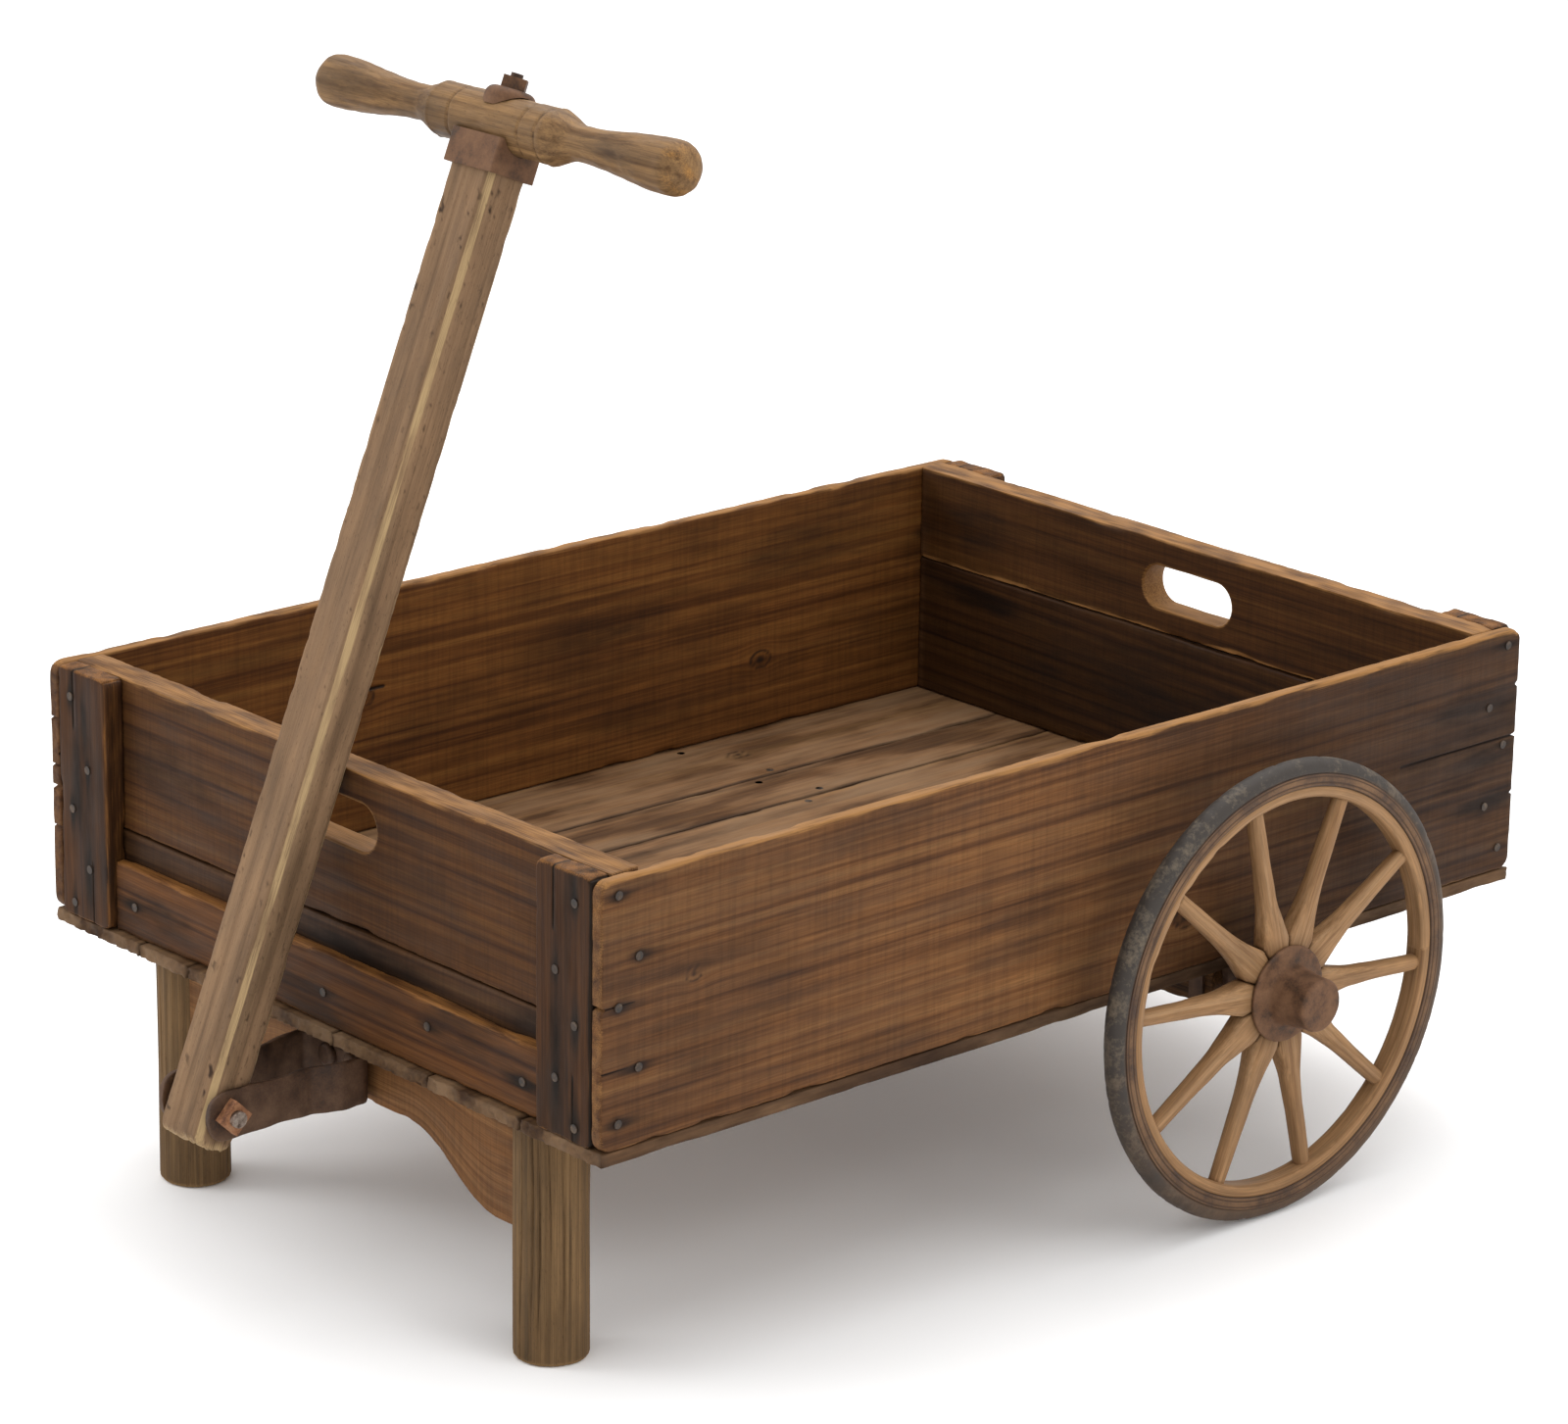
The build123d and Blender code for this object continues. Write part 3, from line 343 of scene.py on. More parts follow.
def stain_and_crack_shade_mask(points, seed, nails, reach, spots=(), knots=(), cracks=()):
    """0 to 1, how dark a surface is: iron stain drawn along the grain from each nail, listed dark
    spots, knots, and painted shade along the cracks."""
    rng = np.random.default_rng(seed + 90)
    dark = np.zeros(len(points))
    flow = 1 + 0.35 * ripple(points / MM, (60, 5, 8), seed + 9)
    for nail in nails:
        da, db = points[:, 0] - nail[0], points[:, 1] - nail[1]
        ahead = rng.uniform(0.35, 1.0) * reach * MM
        behind = rng.uniform(0.35, 1.0) * reach * MM
        run = np.where(da > 0, np.exp(-da / ahead), np.exp(da / behind))
        streak = rng.uniform(0.75, 1.0) * run * bell(db, rng.uniform(4.0, 7.5) * MM * flow)
        dark = np.maximum(dark, streak)
    for along, across, long, wide, strength in spots:
        da, db = points[:, 0] - along * MM, points[:, 1] - across * MM
        spot = bell(da, long * MM) * bell(db, wide * MM * flow)
        dark = np.maximum(dark, strength * spot)
    for along, across, radius in knots:
        far = np.hypot((points[:, 0] - along * MM) / 1.4, points[:, 1] - across * MM)
        dark = np.maximum(dark, 0.85 * bell(far, 0.9 * radius * MM))
        dark = np.maximum(dark, 0.7 * bell(far - 1.5 * radius * MM, 0.35 * radius * MM))
    # Painted shade inside the cracks, too narrow to show their own shadow.
    for start, stop, across, wide, _ in cracks:
        inside = (points[:, 0] > start * MM) & (points[:, 0] < stop * MM)
        dark = np.maximum(dark, inside * bell(points[:, 1] - across * MM, 1.3 * wide * MM))
    return np.clip(dark, 0, 1)


def skin_of(size, steps, rim, notches, cracks):
    """Grid of a plain board with extra lines where a notch or crack needs them."""
    lines = [across * MM + half * MM * t for _, across, half, _ in notches for t in (-1, 0, 1)]
    lines += [across * MM + wide * MM * t for _, _, across, wide, _ in cracks
              for t in (-1, -0.4, 0.4, 1)]
    cuts = [breaks(size[0], rim * MM, steps[0] * MM),
            breaks(size[1], rim * MM, steps[1] * MM, sorted(lines)),
            breaks(size[2], rim * MM, steps[2] * MM)]
    return box_grid(*cuts)


def holed_skin(size, hole, length, height, rim, step):
    """Grid of a board with a slot: closed sections, each from the slot's edge out to the
    board's edge on one face and back on the other, carried round the outline."""
    wide, tall, thick = size
    sides = [((wide, tall / 2), (wide, tall)), ((wide, tall), (0, tall)), ((0, tall), (0, 0)),
             ((0, 0), (wide, 0)), ((wide, 0), (wide, tall / 2))]
    outer = []
    for a, b in sides:
        count = max(2, round(math.dist(a, b) / (step * MM)))
        outer.append(a + (np.array(b) - a) * np.linspace(0, 1, count, endpoint=False)[:, None])
    outer = np.concatenate(outer)
    gaps = np.linalg.norm(np.diff(np.concatenate([outer, outer[:1]]), axis=0), axis=1)
    share = np.concatenate([[0], np.cumsum(gaps)[:-1]]) / gaps.sum()
    turn = np.linspace(0, 2 * np.pi, 721)
    half = (length - height) / 2
    slot = np.stack([np.sign(np.round(np.cos(turn), 9)) * half + height / 2 * np.cos(turn),
                     height / 2 * np.sin(turn)], 1)
    run = np.concatenate([[0], np.cumsum(np.linalg.norm(np.diff(slot, axis=0), axis=1))])
    run /= run[-1]
    inner = np.stack([np.interp(share, run, slot[:, n]) for n in (0, 1)], 1) + hole
    out_cuts = breaks(1.0, 0.02, 0.032)
    across = breaks(thick, rim * MM, 4 * MM)
    face = [(t, 0.0) for t in out_cuts] + [(1.0, c) for c in across[1:-1]]
    face += [(t, thick) for t in out_cuts[::-1]] + [(0.0, c) for c in across[-2:0:-1]]
    face = np.array(face)
    reach = np.linalg.norm(outer - inner, axis=1)
    along = face[None, :, 0] * reach[:, None]
    level = np.broadcast_to(face[None, :, 1], along.shape)
    radius = rim * MM
    core_a = np.clip(along, radius, reach[:, None] - radius)
    core_c = np.clip(level, radius, thick - radius)
    da, dc = along - core_a, level - core_c
    far = np.maximum(np.hypot(da, dc), 1e-9)
    along, level = core_a + da * radius / far, core_c + dc * radius / far
    flat = inner[:, None] + (outer - inner)[:, None] * (along / reach[:, None])[..., None]
    return loop_grid(np.concatenate([flat, level[..., None]], -1))


def board(node, finish, slot, order, seed, nails=None, steps=(4, 4, 4), band=5.0, reach=26.0,
          edges=(0.8, 0.8, 0.6, 0.9, 0.8), spots=(), inner=None, hole=None, shape=None,
          shade=(0.0, 0.0), ends=0.0, fade=(0.0, 0.0), warmth=0.0, **wear):
    """One weathered board in place of a CAD node. order names the axes of the grain, the width
    and the thickness. Shade darkens the outer and the inner face, the inner face takes the warm
    tint in full and the outer face by warmth: painted shade, partly the darkening of old oily
    wood. Ends darkens near both ends of the grain, fade the start and the end of the grain."""
    low, high = limits(node)
    order = list(order)
    size = (high - low)[order]
    notches, cracks = wear.get("notches", ()), wear.get("cracks", ())
    knots, rim = wear.pop("knots", ()), wear.get("rim", 2.0)
    if hole:
        points, faces = holed_skin(size, np.array(hole[0]) - low[order[:2]], *hole[1:], rim, 3.5)
        wear["rim"] = 0.01
    else:
        points, faces = skin_of(size, steps, rim, notches, cracks)
    shaped = weathered(points, size, seed, **wear)
    near = np.zeros((0, 3))
    if nails is not None:
        near = nails[:, order] - low[order]
        near = near[((near > -4 * MM) & (near < size + 4 * MM)).all(1)]
    marks = {
        "grain": grain_of(shaped, seed, knots),
        "wear": worn_mask(points, size, seed, band, edges),
        "stain": stain_and_crack_shade_mask(points, seed, near, reach, spots, knots, cracks),
        # inside and shade tint and darken whole faces: painted shade, partly old oily wood
        "inside": np.full(len(points), warmth),
        "shade": np.full(len(points), shade[0]),
    }
    if inner is not None:
        level = 0.0 if inner == "low" else size[2]
        face = np.abs(points[:, 2] - level) < 0.1 * MM
        face &= np.minimum(points[:, 0], size[0] - points[:, 0]) > 6 * MM
        marks["inside"] = np.where(face, 1.0, warmth)
        marks["shade"] = np.where(face, shade[1], shade[0])
    # ends and fade darken the board near the ends of its grain
    from_end = np.minimum(points[:, 0], size[0] - points[:, 0])
    marks["shade"] = np.maximum(marks["shade"], ends * bell(from_end, 7 * MM))
    along = points[:, 0] / size[0]
    late = ease(np.clip((along - 0.4) / 0.45, 0, 1))
    dull = np.maximum(fade[0] * np.clip(1 - along / 0.35, 0, 1), fade[1] * late)
    marks["shade"] = np.maximum(marks["shade"], dull)
    if hole:
        middle = np.array(hole[0]) - low[order[:2]]
        gap = np.abs(shaped[:, :2] - middle) - [(hole[1] - hole[2]) / 2, 0]
        rim_gap = np.hypot(*np.maximum(gap, 0).T) - hole[2] / 2
        marks["wear"] = np.maximum(marks["wear"], 0.75 * bell(rim_gap, 3 * MM))
    if shape:
        shaped = shape(shaped, size)
    placed = np.empty_like(shaped)
    placed[:, order] = shaped + low[order]
    return piece(f"worn_{node}", placed, faces, finish, "cart", [node], marks)


# ---- Materials ------------------------------------------------------------------------
def wood_finish(name, shades, ring, fibre, kerf=0.0, pores=0.0, blotch=0.5, rough=(0.6, 0.82),
                relief=0.25, dust=0.0, threads=0.5):
    """Wood from its grain coordinates. Growth bands run ring mm apart, fibres are fibre mm
    wide, saw marks lie across the grain kerf mm apart, and blotches darken it at random. The
    wear and stain marks of the mesh uncover pale wood and draw iron stain, and painted shade
    along cracks. The inside and shade marks tint and darken whole faces: painted shade, partly
    old oily wood."""
    deep, body, pale, worn, stained, warm = [colour(code) for code in shades]
    finish, tree, surface = new_finish(name)
    grain = add(tree, "ShaderNodeAttribute", output="Vector", attribute_name="grain")
    wear = add(tree, "ShaderNodeAttribute", output="Fac", attribute_name="wear")
    stain = add(tree, "ShaderNodeAttribute", output="Fac", attribute_name="stain")
    inside = add(tree, "ShaderNodeAttribute", output="Fac", attribute_name="inside")
    shade = add(tree, "ShaderNodeAttribute", output="Fac", attribute_name="shade")
    fields = {}
    for key, (long, wide, detail, rise) in {
        "bands": (620, ring, 3.0, 0.5), "fibres": (34, fibre, 4.0, 0.62),
        "cloud": (150, 42, 4.0, 0.55), "marks": (max(kerf, 1.0), 70, 3.0, 0.6),
        "specks": (4.2, 0.8, 2.0, 0.5), "smear": (60, 14, 5.0, 0.6),
    }.items():
        scaled = add(tree, "ShaderNodeVectorMath", {
            0: grain, 1: (1 / (long * MM), 1 / (wide * MM), 1 / (wide * MM))},
            operation="MULTIPLY")
        fields[key] = add(tree, "ShaderNodeTexNoise", {
            "Vector": scaled, "Scale": 1.0, "Detail": detail, "Roughness": rise,
            "Distortion": 0.4 if key == "bands" else 0.0})
    base = add(tree, "ShaderNodeValToRGB", {"Fac": fields["bands"]},
               stops=[(0.30, deep), (0.70, pale), (0.50, body)])
    # Warm tint by the inside mark: painted shade inside the box and on the front, partly old oily
    # wood
    reddened = add(tree, "ShaderNodeMix", {0: inside, 6: base, 7: warm}, output=2,
                   data_type="RGBA", blend_type="MULTIPLY")
    # Mixes towards near-black by the shade mark: painted shade, partly old oily wood
    reddened = add(tree, "ShaderNodeMix", {0: shade, 6: reddened, 7: colour("#0c0604")},
                   output=2, data_type="RGBA")
    streaks = add(tree, "ShaderNodeValToRGB", {"Fac": fields["fibres"]},
                  stops=[(0.28, grey(threads)), (0.62, grey(1.0))])
    base = add(tree, "ShaderNodeMix", {0: 0.8, 6: reddened, 7: streaks}, output=2,
                  data_type="RGBA", blend_type="MULTIPLY")
    cloudy = add(tree, "ShaderNodeMapRange", {
        "Value": fields["cloud"], "From Min": 0.46, "From Max": 0.70, "To Max": blotch},
        interpolation_type="SMOOTHSTEP")
    clouded = add(tree, "ShaderNodeMix", {0: cloudy, 6: base, 7: stained}, output=2,
                  data_type="RGBA")
    smeared = add(tree, "ShaderNodeValToRGB", {"Fac": fields["smear"]},
                  stops=[(0.32, grey(0.74)), (0.66, grey(1.0))])
    handled = add(tree, "ShaderNodeMix", {0: 1.0, 6: clouded, 7: smeared}, output=2,
                  data_type="RGBA", blend_type="MULTIPLY")
    height = add(tree, "ShaderNodeMath", {0: fields["fibres"], 1: 0.6}, operation="MULTIPLY")
    if kerf:
        sawn = add(tree, "ShaderNodeValToRGB", {"Fac": fields["marks"]},
                   stops=[(0.36, grey(0.66)), (0.58, grey(1.0))])
        handled = add(tree, "ShaderNodeMix", {0: 0.5, 6: handled, 7: sawn}, output=2,
                      data_type="RGBA", blend_type="MULTIPLY")
        height = add(tree, "ShaderNodeMath", {0: fields["marks"], 1: 0.5, 2: height},
                     operation="MULTIPLY_ADD")
    if pores:
        pitted = add(tree, "ShaderNodeMapRange", {
            "Value": fields["specks"], "From Min": 0.62, "From Max": 0.72, "To Max": pores})
        handled = add(tree, "ShaderNodeMix", {0: pitted, 6: handled, 7: stained}, output=2,
                      data_type="RGBA")
        height = add(tree, "ShaderNodeMath", {0: height, 1: pitted}, operation="SUBTRACT")
    if dust:
        film = add(tree, "ShaderNodeMapRange", {
            "Value": fields["cloud"], "From Min": 0.62, "From Max": 0.38, "To Max": dust})
        handled = add(tree, "ShaderNodeMix", {0: film, 6: handled, 7: colour("#8d7256")},
                      output=2, data_type="RGBA")
    rubbed = add(tree, "ShaderNodeMath", {0: fields["fibres"], 1: 0.7, 2: wear},
                 operation="MULTIPLY_ADD")
    rubbed = add(tree, "ShaderNodeMapRange", {
        "Value": rubbed, "From Min": 0.70, "From Max": 1.25}, interpolation_type="SMOOTHSTEP")
    pale_wood = add(tree, "ShaderNodeMix", {0: 0.7, 6: worn, 7: streaks}, output=2,
                    data_type="RGBA", blend_type="MULTIPLY")
    bared = add(tree, "ShaderNodeMix", {0: rubbed, 6: handled, 7: pale_wood}, output=2,
                data_type="RGBA")
    soaked = add(tree, "ShaderNodeMath", {0: fields["smear"], 1: 0.8, 2: stain},
                 operation="MULTIPLY_ADD")
    soaked = add(tree, "ShaderNodeMapRange", {
        "Value": soaked, "From Min": 0.60, "From Max": 1.22, "To Max": 0.90},
        interpolation_type="SMOOTHSTEP")
    final = add(tree, "ShaderNodeMix", {0: soaked, 6: bared, 7: stained}, output=2,
                data_type="RGBA")
    tree.links.new(final, surface.inputs["Base Color"])
    sheen = add(tree, "ShaderNodeMapRange", {
        "Value": fields["smear"], "From Min": 0.3, "From Max": 0.7, "To Min": rough[0],
        "To Max": rough[1]})
    tree.links.new(sheen, surface.inputs["Roughness"])
    surface.inputs["IOR"].default_value = 1.5
    surface.inputs["Specular IOR Level"].default_value = 0.16
    bump = add(tree, "ShaderNodeBump", {"Height": height, "Strength": 0.8,
                                        "Distance": relief * MM})
    tree.links.new(bump, surface.inputs["Normal"])
    return finish


def iron_finish(name, shades, patch, pit, metallic, rough, relief=0.3):
    """Iron from object coordinates: rust in patches patch mm across, pits pit mm wide. Where
    rust is thin the metal shows through and is smoother."""
    scale, rust, bright = [colour(code) for code in shades]
    finish, tree, surface = new_finish(name)
    place = add(tree, "ShaderNodeTexCoord", output="Object")
    patches = add(tree, "ShaderNodeTexNoise", {
        "Vector": place, "Scale": 1 / (patch * MM), "Detail": 5.0, "Roughness": 0.62})
    pits = add(tree, "ShaderNodeTexNoise", {
        "Vector": place, "Scale": 1 / (pit * MM), "Detail": 3.0, "Roughness": 0.6})
    tone = add(tree, "ShaderNodeMath", {0: pits, 1: 0.35, 2: patches},
               operation="MULTIPLY_ADD")
    base = add(tree, "ShaderNodeValToRGB", {"Fac": tone},
               stops=[(0.50, scale), (0.90, bright), (0.68, rust)])
    groove = add(tree, "ShaderNodeAttribute", output="Fac", attribute_name="stain")
    soiled = add(tree, "ShaderNodeMix", {0: groove, 6: base, 7: scale}, output=2,
                 data_type="RGBA")
    tree.links.new(soiled, surface.inputs["Base Color"])
    bare = add(tree, "ShaderNodeMapRange", {
        "Value": patches, "From Min": 0.42, "From Max": 0.62, "To Min": metallic[1],
        "To Max": metallic[0]})
    tree.links.new(bare, surface.inputs["Metallic"])
    dull = add(tree, "ShaderNodeMapRange", {
        "Value": tone, "From Min": 0.5, "From Max": 0.85, "To Min": rough[0],
        "To Max": rough[1]})
    tree.links.new(dull, surface.inputs["Roughness"])
    bump = add(tree, "ShaderNodeBump", {"Height": tone, "Strength": 0.9,
                                        "Distance": relief * MM})
    tree.links.new(bump, surface.inputs["Normal"])
    return finish


def rubber_finish(name, black, bloom, earth):
    """Old solid rubber: blue-black, bloomed grey in scuffed specks, earth-brown low down where
    the mesh's stain mark says so."""
    finish, tree, surface = new_finish(name)
    place = add(tree, "ShaderNodeTexCoord", output="Object")
    dirt = add(tree, "ShaderNodeAttribute", output="Fac", attribute_name="stain")
    broad = add(tree, "ShaderNodeTexNoise", {
        "Vector": place, "Scale": 1 / (26 * MM), "Detail": 5.0, "Roughness": 0.65})
    speck = add(tree, "ShaderNodeTexNoise", {
        "Vector": place, "Scale": 1 / (3.2 * MM), "Detail": 4.0, "Roughness": 0.7})
    mixed = add(tree, "ShaderNodeMath", {0: speck, 1: 0.6, 2: broad},
                operation="MULTIPLY_ADD")
    bloomed = add(tree, "ShaderNodeMapRange", {
        "Value": mixed, "From Min": 0.80, "From Max": 1.04})
    base = add(tree, "ShaderNodeMix", {0: bloomed, 6: colour(black), 7: colour(bloom)},
               output=2, data_type="RGBA")
    muddy = add(tree, "ShaderNodeMath", {0: broad, 1: 0.7, 2: dirt},
                operation="MULTIPLY_ADD")
    muddy = add(tree, "ShaderNodeMapRange", {
        "Value": muddy, "From Min": 0.45, "From Max": 1.0, "To Max": 0.9})
    soiled = add(tree, "ShaderNodeMix", {0: muddy, 6: base, 7: colour(earth)}, output=2,
                 data_type="RGBA")
    tree.links.new(soiled, surface.inputs["Base Color"])
    surface.inputs["Roughness"].default_value = 0.72
    surface.inputs["IOR"].default_value = 1.52
    bump = add(tree, "ShaderNodeBump", {"Height": mixed, "Strength": 0.8,
                                        "Distance": 0.35 * MM})
    tree.links.new(bump, surface.inputs["Normal"])
    return finish


def finishes():
    """Every finish of the cart, made once."""
    if "weathered pine box" in bpy.data.materials:
        return {key: bpy.data.materials[name] for key, name in FINISH_NAMES.items()}
    made = {}
    # The sixth colour of each wood is the warm tint of the inside mark: painted shade, partly old
    # oily wood.
    # Pine, band-sawn and oiled brown by handling: satin, red-brown, saw marks across the grain.
    made["box"] = wood_finish(
        FINISH_NAMES["box"], ("#4c2c12", "#6e4726", "#7e5732", "#8e6539", "#130904", "#fff2c4"),
        ring=5.5, fibre=1.0, kerf=3.4, blotch=0.34, rough=(0.56, 0.78), relief=0.2,
        threads=0.58)
    # The same pine on the floor, never oiled: dusty, grey-brown, matt.
    made["floor"] = wood_finish(
        FINISH_NAMES["floor"], ("#583a1f", "#745031", "#835e38", "#8e6533", "#1c0f07", "#ffffff"),
        ring=6.5, fibre=1.1, kerf=0.0, blotch=0.5, rough=(0.62, 0.85), relief=0.22, dust=0.45)
    # Strips nailed over the corners: the same pine, darker with iron stain down the middle.
    made["cleat"] = wood_finish(
        FINISH_NAMES["cleat"], ("#3b1e08", "#563314", "#69411e", "#805427", "#0a0501", "#ffffff"),
        ring=5.0, fibre=0.9, kerf=0.0, blotch=0.6, rough=(0.56, 0.8), relief=0.25)
    # Round oak pegs, bare and weathered grey-brown with open grain.
    made["leg"] = wood_finish(
        FINISH_NAMES["leg"], ("#5f4b34", "#705639", "#7f6444", "#8e7049", "#110803", "#ffffff"),
        ring=2.6, fibre=0.6, pores=0.3, blotch=0.3, rough=(0.7, 0.9), relief=0.3,
        threads=0.62)
    # Planed pine apron under the floor, paler and orange-tan because it was never handled.
    made["brace"] = wood_finish(
        FINISH_NAMES["brace"], ("#6d4727", "#7c5430", "#8c633c", "#936b3f", "#2e190a", "#ffffff"),
        ring=6.0, fibre=1.0, kerf=2.6, blotch=0.45, rough=(0.6, 0.8), relief=0.2)
    # Rough-sawn oak beam over the axle, dark with dirt and grease.
    made["bed"] = wood_finish(
        FINISH_NAMES["bed"], ("#341e0c", "#4e3218", "#664525", "#7b5831", "#130a05", "#ffffff"),
        ring=4.0, fibre=0.9, kerf=4.0, blotch=0.7, rough=(0.6, 0.82), relief=0.35)
    # Oak pole, planed and chamfered, greyed outdoors: matt with dark open pores.
    made["pole"] = wood_finish(
        FINISH_NAMES["pole"], ("#69513a", "#81654b", "#8d7053", "#a38963", "#23150b", "#ffffff"),
        ring=9.0, fibre=0.8, pores=0.45, blotch=0.3, rough=(0.62, 0.84), relief=0.25,
        threads=0.72)
    # Turned beech grip, polished by hands on the bulbs and dirty in the necks.
    made["grip"] = wood_finish(
        FINISH_NAMES["grip"], ("#62462a", "#80613f", "#8f6d46", "#a1733b", "#2a1b0f", "#ffffff"),
        ring=4.0, fibre=0.8, pores=0.35, blotch=0.55, rough=(0.45, 0.7), relief=0.22)
    # Steamed hickory felloes and spokes, once varnished: honey-tan with a dull sheen.
    made["wheel"] = wood_finish(
        FINISH_NAMES["wheel"], ("#846140", "#9a7550", "#a3805c", "#a57e56", "#412a15", "#ffffff"),
        ring=3.5, fibre=0.8, pores=0.12, blotch=0.22, rough=(0.45, 0.68), relief=0.12)
    # Cast and sheet iron left outdoors: matt red-brown rust with fine pits.
    made["rust"] = iron_finish(
        FINISH_NAMES["rust"], ("#382414", "#5d3e26", "#6e4e34"), 16, 1.6, (0.10, 0.35),
        (0.62, 0.86))
    # Forged iron strap and bolts: near-black scale, brown rust, a dull shine on high spots.
    made["forged"] = iron_finish(
        FINISH_NAMES["forged"], ("#2c1d14", "#49311f", "#5f4530"), 34, 1.5, (0.20, 0.45),
        (0.52, 0.74), 0.25)
    # Square nut, orange-brown with rust where hands never rubbed it.
    made["nut"] = iron_finish(
        FINISH_NAMES["nut"], ("#54321d", "#8a5c3c", "#9c7454"), 9, 1.2, (0.05, 0.2),
        (0.6, 0.85), 0.25)
    # End of a turned steel bolt, rubbed grey by the strap.
    made["bolt"] = iron_finish(
        FINISH_NAMES["bolt"], ("#4a3c33", "#83756a", "#a79c90"), 7, 1.0, (0.5, 0.8),
        (0.35, 0.6), 0.15)
    # Rolled steel channel with a thin skin of rust, darker in the rolled grooves.
    made["rim"] = iron_finish(
        FINISH_NAMES["rim"], ("#362111", "#5b4027", "#705236"), 30, 2.0, (0.10, 0.30),
        (0.55, 0.8), 0.2)
    # Cut nail heads: black-brown with a rubbed grey shine.
    made["nail"] = iron_finish(
        FINISH_NAMES["nail"], ("#16100b", "#33261b", "#5a4836"), 5, 1.2, (0.05, 0.2),
        (0.5, 0.75), 0.15)
    # Solid rubber: blue-black, hard with age, bloomed and scuffed.
    made["tyre"] = rubber_finish(FINISH_NAMES["tyre"], "#282019", "#5c5040", "#4a331d")
    return made


FINISH_NAMES = {
    "box": "weathered pine box", "floor": "dusty pine floor", "cleat": "stained pine strips",
    "leg": "weathered oak pegs", "brace": "planed pine apron", "bed": "rough sawn oak beam",
    "pole": "greyed oak pole", "grip": "turned beech grip", "wheel": "steamed hickory",
    "rust": "rusted cast iron", "forged": "forged iron", "rim": "rolled steel rim",
    "nut": "rusted nut iron", "bolt": "rubbed bolt steel", "nail": "cut nail iron",
    "tyre": "aged solid rubber",
}


# ---- Values a user would change -------------------------------------------------------
class CartBoxValues(bpy.types.PropertyGroup):
    chips: bpy.props.FloatProperty(
        name="Bitten arrises", description="Depth of the bites in the boards' arrises, in mm",
        default=1.6, min=0.0, max=4.0)
    worn_band: bpy.props.FloatProperty(
        name="Worn band", description="Width of the pale rubbed band along top edges, in mm",
        default=4.2, min=0.0, max=20.0)
    stain_reach: bpy.props.FloatProperty(
        name="Stain reach", description="Length of the iron stain along the grain, in mm",
        default=30.0, min=1.0, max=120.0)


class CartPoleValues(bpy.types.PropertyGroup):
    chamfer: bpy.props.FloatProperty(
        name="Chamfer", description="Width of the pole's long chamfers across the corner",
        default=6.0 * MM, min=0.0, max=15 * MM, unit="LENGTH")
    foot_radius: bpy.props.FloatProperty(
        name="Foot rounding", description="Radius of the pole's rounded foot",
        default=9.0 * MM, min=0.0, max=17 * MM, unit="LENGTH")
    neck_radius: bpy.props.FloatProperty(
        name="Grip neck radius", description="Radius of the grip at its thinnest",
        default=13.3 * MM, min=6 * MM, max=20 * MM, unit="LENGTH")
    bulb_radius: bpy.props.FloatProperty(
        name="Grip bulb radius", description="Radius of the grip's two end bulbs",
        default=20.0 * MM, min=10 * MM, max=20.5 * MM, unit="LENGTH")


class CartWheelValues(bpy.types.PropertyGroup):
    spokes: bpy.props.IntProperty(
        name="Spokes", description="Number of spokes in a wheel", default=10, min=4, max=16)
    felloe_chips: bpy.props.FloatProperty(
        name="Felloe chips", description="Depth of the chips in the felloe's inner edge",
        default=2.2 * MM, min=0.0, max=4 * MM, unit="LENGTH")


class CartStageValues(bpy.types.PropertyGroup):
    lens: bpy.props.FloatProperty(
        name="Lens", description="Focal length of the camera in mm", default=128.3195,
        min=20.0, max=300.0)
    floor: bpy.props.FloatVectorProperty(
        name="Floor colour", description="Colour of the pale floor", subtype="COLOR", size=3,
        default=colour("#f6f6f6", alpha=False), min=0.0, max=1.0)
    sky: bpy.props.FloatProperty(
        name="Surrounding light", description="Strength of the even light from all round",
        default=1.0, min=0.0, max=5.0)


